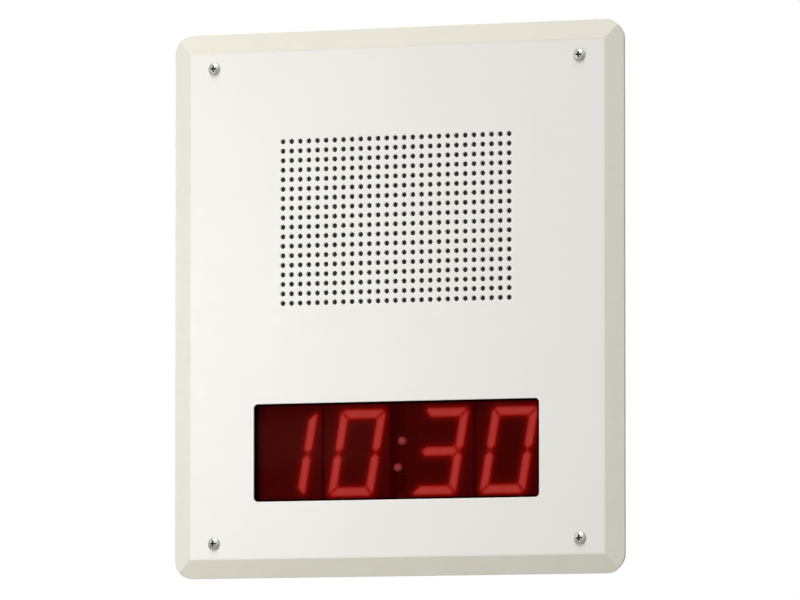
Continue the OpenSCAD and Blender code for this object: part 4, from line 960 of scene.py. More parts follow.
def segment_outlines(sizes):
    """The outlines of the seven segments a to g and of the point, leaned, round a numeral's centre."""
    w, h, s, g, c = sizes.width / 2, sizes.height / 2, sizes.stroke, sizes.gap / 2, sizes.cut

    def both(side):
        return side + [(-x, z) for x, z in reversed(side)]

    top = both([(w - s - g, h - s), (w - c / 2 - g, h - c / 2), (w - c, h)])
    bar = [(w, s / 2 + g), (w, h - c), (w - c / 2, h - c / 2 - g)]
    bar += [(w - s, h - s - g), (w - s, s / 2 + g), (w - s / 2, g)]
    mid = both([(w - s - g, -s / 2), (w - s / 2 - g, 0), (w - s - g, s / 2)])

    def flipped(points, x, z):
        turned = [(p[0] * x, p[1] * z) for p in points]
        return turned if x * z > 0 else turned[::-1]

    lean = math.tan(sizes.lean)
    shapes = {
        "a": top,
        "b": bar,
        "c": flipped(bar, 1, -1),
        "d": flipped(top, 1, -1),
        "e": flipped(bar, -1, -1),
        "f": flipped(bar, -1, 1),
        "g": mid,
    }
    shapes = {name: [(x + z * lean, z) for x, z in points] for name, points in shapes.items()}
    at = (w + 2 * g + sizes.point / 2, sizes.point / 2 - h)
    shapes["point"] = ring(sizes.point / 2, 24, (at[0] + at[1] * lean, at[1]))
    return shapes


# The segments that each numeral lights
LIT = ["abcdef", "bc", "abged", "abgcd", "fgbc", "afgcd", "afgedc", "abc", "abcdefg", "abcdfg"]
DIGITS = ("hour_tens_digit", "hour_units_digit", "minute_tens_digit", "minute_units_digit")


def away_from(points, outline):
    """How far each point is outside an outline that has no hollow, and how far inside it."""
    p, a = np.array(points, float)[:, None], np.array(outline, float)[None]
    b = np.roll(a, -1, 1)
    way = b - a
    t = np.clip(((p - a) * way).sum(2) / (way**2).sum(2), 0, 1)
    gap = np.linalg.norm(p - a - way * t[..., None], axis=2).min(1)
    left = (way[..., 0] * (p - a)[..., 1] - way[..., 1] * (p - a)[..., 0] >= 0).all(1)
    return np.where(left, 0.0, gap), np.where(left, gap, 0.0)


def flat_points(mesh):
    """Where a mesh's points lie across and up."""
    return np.array([(v.co.x, v.co.z) for v in mesh.vertices])


def longest(outline):
    """The longest line across an outline, from end to end."""
    p = np.array(outline)
    gaps = np.linalg.norm(p[:, None] - p[None], axis=2)
    a, b = np.unravel_index(gaps.argmax(), gaps.shape)
    return p[b] - p[a]


def spill(points, lit):
    """How much light reaches each point from the lit segments: most of it close by, a little far away."""
    light = np.zeros(len(points))
    near, near_reach, far, far_reach = 0.4, 1.3, 0.016, 7
    for outline in lit:
        gap = away_from(points, outline)[0] / MM
        light += near * np.exp(-gap / near_reach) + far * np.exp(-gap / far_reach)
    return np.clip(light, 0, 1)


def glow(points, lit):
    """How bright a lit segment is at each point: dim at its rim, and brightest over its two lamp chips."""
    core = np.zeros(len(points))
    off_middle, spread, dim_rim = 0.26, 40, 1.7
    rim, body, chip_spot = 0.28, 0.72, 0.36
    for outline in lit:
        deep = away_from(points, outline)[1] / MM
        chips_at = np.array(outline).mean(0) + np.outer((-1, 1), longest(outline)) * off_middle
        spots = sum(np.exp(-(((points - at) / MM) ** 2).sum(1) / spread) for at in chips_at)
        inside = np.where(deep > 0, np.clip(deep / dim_rim, 0, 1) * (body + chip_spot * spots), 0)
        core = np.maximum(core, inside)
    return np.clip(rim + (1 - rim) * core, 0, 1)


def digit_body(node, wells, floor, lit, finish):
    """One digit's body, with a well for each segment down to the floor's depth."""
    low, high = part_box(node)
    body = rectangle(low.x, high.x, low.z, high.z)
    edge, clearance = 0.15 * MM, 0.4 * MM
    shell = Shell()
    shell.bands(
        *(at_depth(inset(body, into), low.y + deep) for into, deep in rolled(edge)),
        at_depth(body, high.y - edge),
        at_depth(inset(body, edge), high.y),
    )
    shell.cap([inset(body, edge)], high.y)
    inner = grid((low.x + edge, low.z + edge), (high.x - edge, high.z - edge), 1.25 * MM)
    clear = np.min([away_from(inner, well)[0] for well in wells], axis=0) > clearance
    shell.cap([inset(body, edge), *wells], low.y, inner=[point for point, free in zip(inner, clear) if free])
    for well in wells:
        shell.bands(at_depth(well, low.y), at_depth(well, floor))
        shell.cap([well], floor)
    mesh = shell.mesh(f"{node}_body", [finish], sharp=30)
    # Painted glow: the side walls, in shade between the digits, get a little red light of their own.
    walls = [0.03 if v.co.y > low.y + edge / 2 else 0.0 for v in mesh.vertices]
    keep_values(mesh, "spill", spill(flat_points(mesh), lit) + walls)
    fit(show(f"{node}_body", mesh), node)


def epoxy_fill(name, outlines, front, back, finish, sharp=35):
    """The epoxy in several wells: its top is slightly sunk and rounds off at the rim."""
    sunk, rim_sunk, film = 0.03 * MM, 0.08 * MM, 0.02 * MM
    shell = Shell()
    for outline in outlines:
        p = np.array(outline)
        around = grid(p.min(0), p.max(0), 1.1 * MM)
        inner = [q for q, deep in zip(around, away_from(around, outline)[1]) if deep > 0.9 * MM]
        top, rim = inset(outline, 0.3 * MM), inset(outline, film)
        shell.bands(at_depth(top, front + sunk), at_depth(rim, front + rim_sunk), at_depth(rim, back - film))
        shell.cap([top], front + sunk, inner=inner)
        shell.cap([rim], back - film)
    return shell.mesh(name, [finish], sharp)


def numerals(sizes, paints):
    """The four digits: bodies, lit and unlit segments, with the light that they spill."""
    low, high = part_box("lit_segments")
    outlines = segment_outlines(sizes)
    wells, lit, unlit = {}, [], []
    for node, shown in zip(DIGITS, sizes.time):
        at, wells[node] = middle(node), []
        for name, outline in outlines.items():
            wells[node].append(stepped([(x + at.x, z + at.z) for x, z in outline], 1.5 * MM))
            (lit if name in LIT[int(shown)] else unlit).append(wells[node][-1])
    finish = digit_face(paints)
    dress(finish, "colon_holder")
    for node in DIGITS:
        digit_body(node, wells[node], high.y, lit, finish)
    mesh = epoxy_fill("lit_epoxy", lit, low.y, high.y, lit_epoxy(paints))
    keep_values(mesh, "glow", glow(flat_points(mesh), lit))
    fit(show("lit_epoxy", mesh), "lit_segments")
    mesh = epoxy_fill("unlit_epoxy", unlit, low.y, high.y, unlit_epoxy(paints))
    keep_values(mesh, "spill", spill(flat_points(mesh), lit))
    fit(show("unlit_epoxy", mesh), "unlit_segments")


def colon(paints):
    """The colon's two round lamps, domed at the front."""
    low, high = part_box("colon_lamps")
    radius = 3 * MM
    dome = [(radius * math.sin(a), low.y + radius * (1 - math.cos(a))) for a in np.radians(range(0, 91, 10))]
    shell = Shell()
    for x, z in ((high.x - radius, high.z - radius), (low.x + radius, low.z + radius)):
        profile = [*dome, (radius, high.y), (0.0, high.y)]
        shell.lathe(profile, 32, lambda u, v, y, x=x, z=z: (x + u, y, z + v))
    shell.piece("colon_domes", [colon_epoxy(paints)], "colon_glow", "colon_lamps")


def window_lens(sizes, shown, paints):
    """The red lens: its raised face fills the window, and its flange lies behind the panel."""
    low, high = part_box("display_lens")
    z = (low.z + high.z) / 2
    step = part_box("front_panel")[0].y + sizes.sheet
    gap, edge = shown.lens_gap, 0.35 * MM
    width, height = sizes.window_width - 2 * gap, sizes.window_height - 2 * gap
    face = rounded(width, height, sizes.window_corner - gap, 8, (0, z))
    flange = rounded(high.x - low.x, high.z - low.z, 3 * MM, 6, (0, z))
    holes = four_holes("lens_spacers", 3.6 * MM, 24)
    shell = Shell()
    shell.cap([inset(face, edge)], low.y)
    front = (at_depth(inset(face, into), low.y + deep) for into, deep in rolled(edge))
    shell.bands(*front, at_depth(face, step))
    shell.cap([flange, face, *holes], step)
    for loop in (flange, *holes):
        shell.bands(at_depth(loop, step), at_depth(loop, high.y))
    shell.cap([flange, *holes], high.y)
    shell.piece("window_lens", [red_acrylic(sizes, paints)], "lens_red", "display_lens")
    dress(plain("natural_nylon"), "lens_spacers")


# Boards


def soldered_pins():
    """The digits' pins: tails through the board, each in a fillet of solder."""
    finish = plain("tin_plated_brass")
    low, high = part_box("digit_pins")
    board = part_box("display_board")[1].y
    pin, cad_pin = 0.28 * MM, 0.6 * MM
    profile = [
        (0.0, low.y),
        (pin, low.y),
        (pin, board),
        (0.95 * MM, board + 0.02 * MM),
        (0.55 * MM, board + 0.35 * MM),
        (0.32 * MM, board + 0.9 * MM),
        (pin, high.y - 0.15 * MM),
        (0.16 * MM, high.y),
        (0.0, high.y),
    ]
    shell = Shell()
    shell.lathe(profile, 10, lambda u, v, y: (u, y, v))
    one = shell.mesh("pin", [finish])
    pitch, rows = 2.54 * MM, high.z - low.z - cad_pin
    groups = []
    for i, node in enumerate(DIGITS):
        at = middle(node)
        groups.append(repeated(f"pins_{i}", one.copy(), 5, 2, pitch, rows, (at.x, 0, at.z), finish))
    fit(show("soldered_pins", joined("soldered_pins", *groups)), "digit_pins")


# How far a chip's lead reaches past its body
LEAD_REACH = 1.3 * MM


def lead_pair(width, height, finish):
    """A pair of gull wing leads, one at each end of a chip, along X. Heights run along +Y from the board."""
    thick, wide, root, knee = 0.3 * MM, 0.45 * MM, 0.2 * MM, 0.65 * MM
    level = height / 2
    line = [(-root, level), (knee - thick, level), (knee - thick, 0), (LEAD_REACH, 0)]
    line += [(LEAD_REACH, thick), (knee, thick), (knee, level + thick), (-root, level + thick)]
    shell = Shell()
    for side in (-1, 1):
        near, far = ([(side * (width / 2 + x), y, z) for x, y in line] for z in (-wide / 2, wide / 2))
        shell.bands(near, far)
        for loop in (near, far):
            shell.take(loop, [(0, 1, 6, 7), (1, 2, 5, 6), (2, 3, 4, 5)])
    return shell.mesh("lead_pair", [finish], sharp=25)


def chip_body(name, board, x, z, w, h, tall, finish):
    """A chip's moulded body round a waist at half its height, with a round mark by its first lead."""
    edge, waist, clearance, band = 0.4 * MM, 0.12 * MM, 0.15 * MM, 0.1 * MM
    mark_at, mark_edge, dip = 1.5 * MM, 0.1 * MM, 0.08 * MM
    body = rectangle(x - w / 2, x + w / 2, z - h / 2, z + h / 2)
    under, top, half = board + clearance, board + tall, board + tall / 2
    mark = ring(0.5 * MM, 16, (x - w / 2 + mark_at, z + h / 2 - mark_at))
    shell = Shell()
    shell.bands(
        at_depth(inset(body, waist), under),
        at_depth(body, half - band),
        at_depth(body, half + band),
        at_depth(inset(body, waist), top - edge * 0.5),
        at_depth(inset(body, edge), top),
    )
    shell.cap([inset(body, waist)], under)
    shell.cap([inset(body, edge), mark], top)
    shell.bands(at_depth(mark, top), at_depth(inset(mark, mark_edge), top - dip))
    shell.cap([inset(mark, mark_edge)], top - dip)
    return shell.mesh(f"{name}_body", [finish], sharp=20)


def chip(name, node, places, size, leads, sides=2, pitch=1.27, turned=False):
    """Chips of one kind, with leads on two or four sides. Places are their centres, and the size and the
    pitch are in millimetres."""
    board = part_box(node)[0].y
    resin, tin = plain("moulded_epoxy"), plain("tin_plated_brass")
    across, along, tall = (side * MM for side in size)
    w, h = (along, across) if turned else (across, along)
    meshes = []
    for x, z in places:
        meshes.append(chip_body(name, board, x, z, w, h, tall, resin))
        for quarter in range(sides // 2):
            upright = turned != bool(quarter)
            turn = (0, math.pi / 2, 0) if upright else (0, 0, 0)
            count = (leads, 1) if upright else (1, leads)
            steps = (*count, pitch * MM, pitch * MM)
            pair = lead_pair(across, tall, tin)
            meshes.append(repeated(f"{name}_leads", pair, *steps, (x, board, z), tin, turn=turn))
    fit(show(name, joined(name, *meshes)), node)


def chips():
    """The chips of both boards, each in its own place."""
    driver, memory = (7.5, 17.9, 2.5), (7.6, 12.8, 2.3)
    low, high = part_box("driver_chips")
    x, z = high.x - driver[1] / 2 * MM, (low.z + high.z) / 2
    chip("drivers", "driver_chips", [(-x, z), (x, z)], driver, 14, turned=True)
    at = middle("line_transformer")
    chip("line_coupler", "line_transformer", [(at.x, at.z)], (12.7, 16.5, 6), 10)
    at = middle("processor_chip")
    chip("processor", "processor_chip", [(at.x, at.z)], (20, 20, 1.6), 18, sides=4, pitch=1.0)
    low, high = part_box("memory_chips")
    half, z = memory[0] / 2 * MM + LEAD_REACH, (low.z + high.z) / 2
    chip("memories", "memory_chips", [(low.x + half, z), (high.x - half, z)], memory, 9)
    at = middle("amplifier_chip")
    chip("amplifier", "amplifier_chip", [(at.x, at.z)], (11, 16, 2.4), 11)


def board_finishes():
    """The two boards' laminates, and the finishes of the parts on them that keep their CAD solids."""
    dress(circuit_laminate("paper_circuit_laminate", middle("display_board").y), "display_board")
    dress(circuit_laminate("glass_circuit_laminate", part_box("main_board")[0].y - MM), "main_board")
    dress_plainly({
        "glass_filled_nylon": ("link_header", "link_socket", "reset_switch"),
        "natural_nylon": ("speaker_header", "speaker_plug"),
        "nickel_silver_can": ("network_jack", "clock_crystal"),
        "gold_plated_bronze": ("jack_contacts",),
        "sintered_ferrite": ("power_inductors",),
        "black_anodised_aluminium": ("heat_sink",),
        "green_lamp_epoxy": ("status_lamps",),
        "orange_acetal": ("reset_button",),
        "zinc_plated_steel": ("board_standoffs",),
    })


def wound_transformer():
    """The power transformer: the bobbin's foot, the taped winding, and the core's two plates and two legs.
    Each block's place across, width, height, base, top, corner radius and edge are in millimetres."""
    board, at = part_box("power_transformer")[0].y, middle("power_transformer")
    ferrite, tape, bobbin = range(3)
    shell = Shell()
    for x, width, height, base, top, radius, edge, slot in (
        (0.0, 21.9, 20.9, 0.0, 1.95, 0.6, 0.3, bobbin),
        (0.0, 13.0, 19.8, 3.5, 10.0, 1.2, 0.9, tape),
        (0.0, 20.0, 15.0, 2.0, 3.5, 0.6, 0.3, ferrite),
        (0.0, 20.0, 15.0, 10.0, 13.0, 0.6, 0.3, ferrite),
        (-8.48, 2.96, 14.96, 3.4, 10.1, 0.4, 0.0, ferrite),
        (8.48, 2.96, 14.96, 3.4, 10.1, 0.4, 0.0, ferrite),
    ):
        outline = rounded(width * MM, height * MM, radius * MM, 3, (at.x + x * MM, at.z))
        shell.prism(outline, board + base * MM, board + top * MM, edge * MM, slot=slot)
    finishes = [plain(name) for name in ("sintered_ferrite", "polyester_tape", "glass_filled_nylon")]
    shell.piece("wound_transformer", finishes, "core_ferrite", "power_transformer")


# An electrolytic can's sleeve and its lid: radius and height in millimetres
CAN_SLEEVE = [
    (0.0, 0.0),
    (4.5, 0.0),
    (4.9, 0.35),
    (5.0, 0.9),
    (5.0, 1.7),
    (4.75, 2.05),
    (4.6, 2.3),
    (4.75, 2.55),
    (5.0, 2.9),
    (5.0, 15.2),
    (4.93, 15.6),
    (4.7, 15.9),
    (4.4, 16.0),
    (4.1, 15.95),
    (4.0, 15.6),
    (0.0, 15.6),
]
CAN_LID = [(0.0, 15.5), (4.15, 15.5), (4.15, 15.72), (3.9, 15.78), (3.7, 15.7), (0.0, 15.7)]


def electrolytic_cans():
    """The three electrolytic capacitors, each a sleeved can with a bare lid. Their places on the board are
    in millimetres from its middle."""
    base, board_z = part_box("capacitors")[0].y, middle("main_board").z
    shell = Shell()
    for x, z in ((-3, 24), (9, 4), (-8, 4)):
        for slot, profile in enumerate((CAN_SLEEVE, CAN_LID)):
            shell.lathe(
                [(r * MM, base + h * MM) for r, h in profile],
                40,
                lambda u, v, y, x=x * MM, z=board_z + z * MM: (x + u, y, z + v),
                slot=slot,
            )
    finishes = [plain("can_sleeve_pvc"), plain("drawn_aluminium")]
    shell.piece("electrolytic_cans", finishes, "can_sleeve", "capacitors")


# Grille cloth, foam and rubber


def stretched_cloth():
    """Acoustic cloth stretched behind the grille, clear of its four studs."""
    finish = woven("black_acoustic_cloth", ("1A1A1C", "242427", "0A0A0B"), 0.9, 0.12, 0.85, 0.35)
    low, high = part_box("grille_cloth")
    y, wave, across, up = middle("grille_cloth").y, 0.05 * MM, 7 * MM, 9 * MM
    edge = rectangle(low.x, high.x, low.z, high.z)

    def slack(x, z):
        return y + wave * math.sin(x / across) * math.sin(z / up)

    shell = Shell()
    inner = grid((low.x, low.z), (high.x, high.z), 4 * MM)
    shell.cap([edge, *four_holes("baffle_nuts", 4.6 * MM, 20)], slack, inner=inner)
    cloth = show("acoustic_cloth", shell.mesh("acoustic_cloth", [finish]))
    solid = cloth.modifiers.new("thickness", "SOLIDIFY")
    solid.thickness, solid.offset = 0.36 * MM, 0.0
    fit(cloth, "grille_cloth")


def foam_gaskets():
    """The sealing strip round the box's mouth and the ring under the speaker, both a little squeezed."""
    finish = closed_cell_foam()
    low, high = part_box("sealing_strip")
    flange, corner, bulge, gap = 13 * MM, 1.5 * MM, 0.2 * MM, 0.3 * MM
    mouth = span("back_box") - Vector((2, 0, 2)) * flange
    outer = rounded(high.x - low.x - 2 * bulge, high.z - low.z - 2 * bulge, corner, 4)
    inner = rounded(mouth.x + 2 * gap, mouth.z + 2 * gap, corner, 4)
    shell = Shell()
    inside = [inner, *four_holes("corner_nuts", 9.8 * MM, 28)]
    shell.prism(outer, low.y, high.y, 0.5 * MM, inside, bulge=bulge)
    shell.piece("foam_strip", [finish], "seal_foam", "sealing_strip", sharp=60)
    low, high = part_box("speaker_foam")
    at, steps, lip = (0, (low.z + high.z) / 2), 72, 10.4 * MM
    outer = ring((high.x - low.x) / 2 - bulge, steps, at)
    inner = ring(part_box("speaker_basket")[1].x - lip, steps, at)
    shell = Shell()
    inside = [inner, *four_holes("speaker_screws", 4.8 * MM, 20)]
    shell.prism(outer, low.y, high.y, 0.3 * MM, inside, bulge=0.15 * MM)
    shell.piece("foam_ring", [finish], "seal_foam", "speaker_foam", sharp=60)


def rubber_grommet():
    """The cable grommet in the box's upper end, with soft lips on both sides of the sheet."""
    low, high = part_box("cable_grommet")
    at, lip = (low + high) / 2, (high.x - low.x) / 2
    bore, groove = 6 * MM, 11 * MM
    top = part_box("box_ends")[1].z
    sheet, soft = 1.5 * MM, 0.8 * MM

    def bend(r, z, start):
        turns = [math.radians(start + a) for a in (0, 30, 60, 90)]
        return [(r + soft * math.cos(a), z + soft * math.sin(a)) for a in turns]

    profile = [(bore, low.z + 0.5 * MM), (bore + 0.15 * MM, low.z + 0.15 * MM), (bore + 0.5 * MM, low.z)]
    profile += bend(lip - soft, low.z + soft, 270)
    profile += [(lip, top - sheet), (groove, top - sheet), (groove, top), (lip, top)]
    profile += bend(lip - soft, high.z - soft, 0)
    profile += [(bore + 0.5 * MM, high.z), (bore + 0.15 * MM, high.z - 0.15 * MM), (bore, high.z - 0.5 * MM)]
    shell = Shell()
    shell.lathe(profile, 56, lambda u, v, z: (at.x + u, at.y + v, z))
    shell.piece("rubber_grommet", [plain("vulcanised_rubber")], "grommet_rubber", "cable_grommet")


# Loudspeaker


def flexing_ring(name, node, finish, line, thickness, sectors=12, steps=14):
    """A ring made in sectors, each its own mesh. The line gives the sheet's middle, as radii and depths from
    the cone outward."""
    z = middle("speaker_cone").z
    thick = thickness / 2
    path = np.array(line)
    way = np.gradient(path, axis=0)
    side = np.stack([-way[:, 1], way[:, 0]], 1) / np.linalg.norm(way, axis=1)[:, None] * thick
    profile = [tuple(p) for p in [*(path + side), *(path - side)[::-1]]]
    sweep = 2 * math.pi / sectors
    for i in range(sectors):
        part = f"{name}_{i + 1:02d}"
        shell = Shell()
        shell.lathe(profile, steps, lambda u, v, y: (u, y, z + v), start=i * sweep, sweep=sweep)
        piece = show(part, shell.mesh(part, [finish], sharp=50))
        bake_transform(piece)
        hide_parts(node)


def surround():
    """The rubber half roll between the basket and the cone."""
    low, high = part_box("cone_surround")
    skin, roll, lap = 0.5 * MM, 2 * MM, 2.5 * MM
    flat, rim = high.y - skin / 2, span("speaker_cone").x / 2
    at = rim + roll
    line = [(rim - lap, flat), (rim - 1.2 * MM, flat)]
    for turn in np.radians(range(0, 181, 15)):
        line.append((at - roll * math.cos(turn), flat - skin / 2 - roll * math.sin(turn)))
    line += [(at + roll + 1.4 * MM, flat), ((high.x - low.x) / 2 - 0.1 * MM, flat)]
    flexing_ring("surround", "cone_surround", plain("butyl_rubber"), line, 0.46 * MM)


def spider():
    """The corrugated cloth that centres the coil."""
    low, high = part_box("speaker_spider")
    neck, outer, mid = span("voice_coil").x / 2 - 0.3 * MM, (high.x - low.x) / 2, (low.y + high.y) / 2
    first, last = neck + 1.5 * MM, outer - 4.7 * MM
    depth, waves, steps = 0.78 * MM, 4, 48
    line = [(neck, mid), (neck + 0.8 * MM, mid)]
    for i in range(steps + 1):
        wave = depth * math.sin(2 * math.pi * waves * i / steps)
        line.append((first + (last - first) * i / steps, mid - wave))
    line += [(last + 2 * MM, mid), (outer - 0.1 * MM, mid)]
    weave = woven("impregnated_cotton", ("B98A3E", "A87A34", "6E4C1E"), 0.5, 0.06, 0.8, 0.1)
    flexing_ring("spider", "speaker_spider", weave, line, 0.42 * MM)


def speaker_finishes():
    """The finishes of the driver's pressed, turned and wound parts, which keep their CAD solids."""
    dress(wound_coil(), "voice_coil")
    dress_plainly({
        "pressed_paper_pulp": ("speaker_cone", "dust_cap"),
        "stoved_black_enamel": ("speaker_basket",),
        "ground_barium_ferrite": ("speaker_magnet",),
        "yellow_zinc_steel": ("pole_plate", "pole_yoke"),
        "zinc_plated_steel": ("speaker_baffle", "baffle_nuts"),
        "phenolic_sheet": ("terminal_strip",),
        "tin_plated_brass": ("terminal_lugs",),
    })


def speaker_leads():
    """Two leads from the speaker's lugs down to the plug, in a slack curve."""
    low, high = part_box("speaker_lead")
    ease, thick, apart, steps = 18 * MM, 1.6 * MM, 1.7 * MM, 40
    bottom = high.x - thick / 2 - apart
    start_y, end_y = middle("terminal_lugs").y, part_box("speaker_plug")[0].y + 3 * MM
    for side, name, finish in ((-1, "lead_black", "black_pvc"), (1, "lead_red", "red_pvc")):
        a = Vector((side * 4.5 * MM, start_y, high.z))
        b = Vector((bottom + side * apart, end_y, low.z))
        p, q = a - Vector((0, 0, ease)), b + Vector((0, 0, ease))
        curve = bpy.data.curves.new(f"{name}_path", "CURVE")
        curve.dimensions = "3D"
        spline = curve.splines.new("POLY")
        spline.points.add(steps)
        for i, point in enumerate(spline.points):
            t, u = i / steps, 1 - i / steps
            at = u**3 * a + 3 * u * u * t * p + 3 * u * t * t * q + t**3 * b
            point.co = (*at, 1.0)
        path = show(f"{name}_path", curve)
        values = {"Path": path, "Diameter": thick, "Sides": 12, "Finish": plain(finish)}
        mesh = grown(name, "Swept Wire", wire_tree, values)
        bpy.data.objects.remove(path)
        mesh.shade_smooth()
        mesh.set_sharp_from_angle(angle=math.radians(40))
        fit(show(name, mesh), "speaker_lead")


def box_finishes(paints):
    """The finishes of the back box and of what is fixed to it and to the panel."""
    dress(galvanised_sheet(paints), "back_box", "box_ends")
    dress(threaded_stud(), "panel_studs")
    dress_plainly({"yellow_zinc_steel": ("corner_nuts",), "green_passivated_steel": ("earth_screw",)})


# Stage


def pale_floor():
    """A matt painted floor far below the clock. It looks nearly white to the camera and lights nothing."""
    material, tree, place = surface("matt_floor_paint")
    tone = mottled(tree, place, 400, linear("E8E7E5"), linear("E5E4E1"), 3.0)
    glow, half, z = 0.45, 6, -1.2
    seen = add(tree, "LightPath")["Is Camera Ray"]
    seen = add(tree, "Math", [seen, glow], operation="MULTIPLY")[0]
    finish = coated(material, tone, 0.9, Emission_Color=linear("FFFFFF"), Emission_Strength=seen)
    mesh = bpy.data.meshes.new("floor")
    corners = [(x, y, z) for x, y in rectangle(-half, half, -half, half)]
    mesh.from_pydata(corners, [], [range(4)])
    mesh.materials.append(finish)
    show("floor", mesh)


def white_surroundings():
    """A world that looks white and is mirrored white, but gives only a little soft light."""
    world = bpy.data.worlds.new("white_studio")
    bpy.context.scene.world = world
    world.use_nodes = True
    tree = world.node_tree
    tree.nodes.clear()
    path = add(tree, "LightPath")
    seen = path["Is Camera Ray"]
    for ray in ("Is Glossy Ray", "Is Transmission Ray"):
        seen = add(tree, "Math", [seen, path[ray]], operation="MAXIMUM")[0]
    soft_light, white = 0.11, 1.0
    strength = add(tree, "MapRange", [seen, 0.0, 1.0, soft_light, white])[0]
    add(tree, "OutputWorld", [add(tree, "Background", [linear("FFFFFF"), strength])[0]])


def soft_lamps():
    """Four square lamps that face the clock: place, side in metres, power in watts and colour."""
    target = Vector((0.0, -0.05, 0.0))
    for name, place, side, power, tint in (
        ("side_lamp", (-0.47, -0.65, 0.0), 0.3, 2.15, "FFFEFB"),
        ("top_lamp", (0.0, -2.6, 4.1), 2.4, 157.0, "FFFDF9"),
        ("overhead_lamp", (0.0, -0.9, 5.0), 1.2, 60.0, "FFFDF9"),
        ("rear_lamp", (0.0, 2.4, 1.2), 1.2, 44.0, "FFFDF9"),
    ):
        light = bpy.data.lights.new(name, "AREA")
        light.size, light.energy, light.color = side, power, linear(tint)[:3]
        lamp = show(name, light)
        lamp.location = place
        lamp.visible_camera = False
        lamp.rotation_euler = (target - Vector(place)).to_track_quat("-Z", "Y").to_euler()


def camera_in_front():
    """The camera, to the right of the clock and a little below it, where its front shows at a slant."""
    azimuth, elevation, distance = math.radians(24.94), math.radians(-3.47), 6.083
    aim = Vector((3.47 * MM, -54.7 * MM, 0.62 * MM))
    back = Vector((math.sin(azimuth), -math.cos(azimuth), math.tan(elevation))).normalized()
    camera = show("camera", bpy.data.cameras.new("camera"))
    camera.data.lens, camera.data.sensor_width = 413.8, 36.0
    camera.data.clip_start, camera.data.clip_end = 0.1, 60.0
    camera.location = aim + back * distance
    camera.rotation_euler = (-back).to_track_quat("-Z", "Y").to_euler()
    bpy.context.scene.camera = camera


# Operators and sidebar


class WALL_CLOCK_OT_stage(bpy.types.Operator):
    """Adds the floor, the white surroundings, the lamps and the camera"""

    bl_idname = "wall_clock.stage"
    bl_label = "Stage"

    def execute(self, context):
        context.scene.view_settings.view_transform = "Standard"
        pale_floor()
        white_surroundings()
        soft_lamps()
        camera_in_front()
        return {"FINISHED"}


class WALL_CLOCK_OT_panel(bpy.types.Operator):
    """Builds the pressed front panel and its grille"""

    bl_idname = "wall_clock.panel"
    bl_label = "Front Panel"

    def execute(self, context):
        pressed_panel(context.scene.wall_clock_panel, context.scene.wall_clock_finishes)
        return {"FINISHED"}


class WALL_CLOCK_OT_screws(bpy.types.Operator):
    """Builds the corner, board and speaker screws, in groups of four"""

    bl_idname = "wall_clock.screws"
    bl_label = "Screws"

    def execute(self, context):
        fixings()
        return {"FINISHED"}


class WALL_CLOCK_OT_lens(bpy.types.Operator):
    """Builds the red lens of the display window"""

    bl_idname = "wall_clock.lens"
    bl_label = "Window Lens"

    def execute(self, context):
        scene = context.scene
        window_lens(scene.wall_clock_panel, scene.wall_clock_display, scene.wall_clock_finishes)
        return {"FINISHED"}


class WALL_CLOCK_OT_digits(bpy.types.Operator):
    """Builds the four digits with their lit and unlit segments"""

    bl_idname = "wall_clock.digits"
    bl_label = "Digits"

    def execute(self, context):
        numerals(context.scene.wall_clock_display, context.scene.wall_clock_finishes)
        return {"FINISHED"}


class WALL_CLOCK_OT_colon(bpy.types.Operator):
    """Builds the colon's two lamps"""

    bl_idname = "wall_clock.colon"
    bl_label = "Colon"

    def execute(self, context):
        colon(context.scene.wall_clock_finishes)
        return {"FINISHED"}


class WALL_CLOCK_OT_chips(bpy.types.Operator):
    """Builds the chips of both boards with their leads"""

    bl_idname = "wall_clock.chips"
    bl_label = "Chips"

    def execute(self, context):
        chips()
        return {"FINISHED"}


class WALL_CLOCK_OT_boards(bpy.types.Operator):
    """Builds and finishes the boards and what else they hold"""

    bl_idname = "wall_clock.boards"
    bl_label = "Boards"

    def execute(self, context):
        board_finishes()
        wound_transformer()
        electrolytic_cans()
        soldered_pins()
        return {"FINISHED"}


class WALL_CLOCK_OT_cloth(bpy.types.Operator):
    """Builds the acoustic cloth behind the grille"""

    bl_idname = "wall_clock.cloth"
    bl_label = "Grille Cloth"

    def execute(self, context):
        stretched_cloth()
        return {"FINISHED"}


class WALL_CLOCK_OT_gaskets(bpy.types.Operator):
    """Builds the strip and the ring of foam"""

    bl_idname = "wall_clock.gaskets"
    bl_label = "Foam Gaskets"

    def execute(self, context):
        foam_gaskets()
        return {"FINISHED"}


class WALL_CLOCK_OT_speaker(bpy.types.Operator):
    """Builds the parts of the driver that flex, and finishes the others"""

    bl_idname = "wall_clock.speaker"
    bl_label = "Loudspeaker"

    def execute(self, context):
        surround()
        spider()
        speaker_finishes()
        return {"FINISHED"}


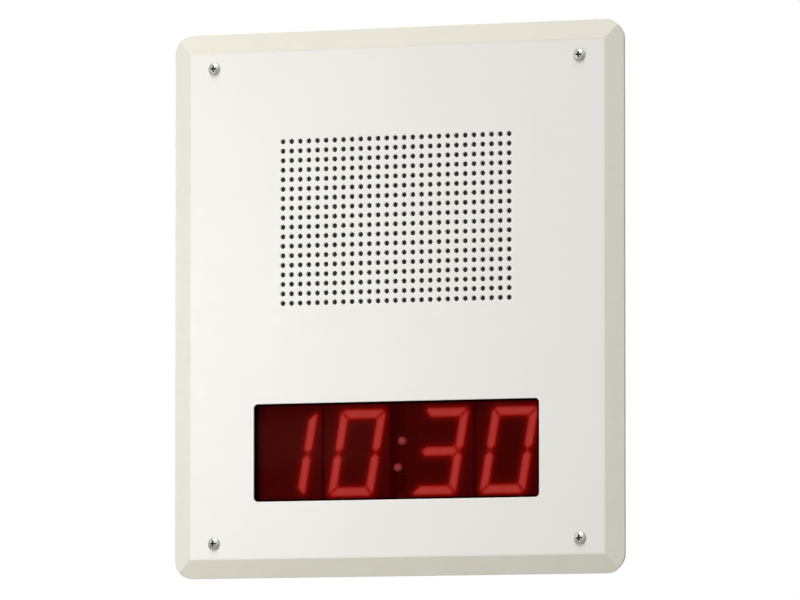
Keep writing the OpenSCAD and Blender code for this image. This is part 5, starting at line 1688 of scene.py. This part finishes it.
class WALL_CLOCK_OT_leads(bpy.types.Operator):
    """Builds the speaker's two leads"""

    bl_idname = "wall_clock.leads"
    bl_label = "Speaker Leads"

    def execute(self, context):
        speaker_leads()
        return {"FINISHED"}


class WALL_CLOCK_OT_box(bpy.types.Operator):
    """Builds the cable grommet and finishes the back box"""

    bl_idname = "wall_clock.box"
    bl_label = "Back Box"

    def execute(self, context):
        rubber_grommet()
        box_finishes(context.scene.wall_clock_finishes)
        return {"FINISHED"}


OPERATORS = [
    WALL_CLOCK_OT_stage,
    WALL_CLOCK_OT_panel,
    WALL_CLOCK_OT_screws,
    WALL_CLOCK_OT_lens,
    WALL_CLOCK_OT_digits,
    WALL_CLOCK_OT_colon,
    WALL_CLOCK_OT_chips,
    WALL_CLOCK_OT_boards,
    WALL_CLOCK_OT_cloth,
    WALL_CLOCK_OT_gaskets,
    WALL_CLOCK_OT_speaker,
    WALL_CLOCK_OT_leads,
    WALL_CLOCK_OT_box,
]
GROUPS = {
    "wall_clock_panel": PanelSizes,
    "wall_clock_display": DisplaySizes,
    "wall_clock_finishes": Finishes,
}


class WALL_CLOCK_PT_sidebar(bpy.types.Panel):
    """Lists the sizes, the finishes and the pieces"""

    bl_label = "Wall Clock"
    bl_space_type = "VIEW_3D"
    bl_region_type = "UI"
    bl_category = "Wall Clock"

    def draw(self, context):
        for name in GROUPS:
            values = getattr(context.scene, name)
            for size in values.__annotations__:
                self.layout.prop(values, size)
        for one in OPERATORS:
            self.layout.operator(one.bl_idname)


CLASSES = [*GROUPS.values(), *OPERATORS, WALL_CLOCK_PT_sidebar]


def register():
    for one in CLASSES:
        bpy.utils.register_class(one)
    for name, group in GROUPS.items():
        setattr(bpy.types.Scene, name, PointerProperty(type=group))


def unregister():
    for name in GROUPS:
        delattr(bpy.types.Scene, name)
    for one in reversed(CLASSES):
        bpy.utils.unregister_class(one)


def main():
    """Builds the whole clock."""
    register()
    for one in OPERATORS:
        getattr(bpy.ops.wall_clock, one.bl_idname.split(".")[1])()


if __name__ == "__main__":
    main()
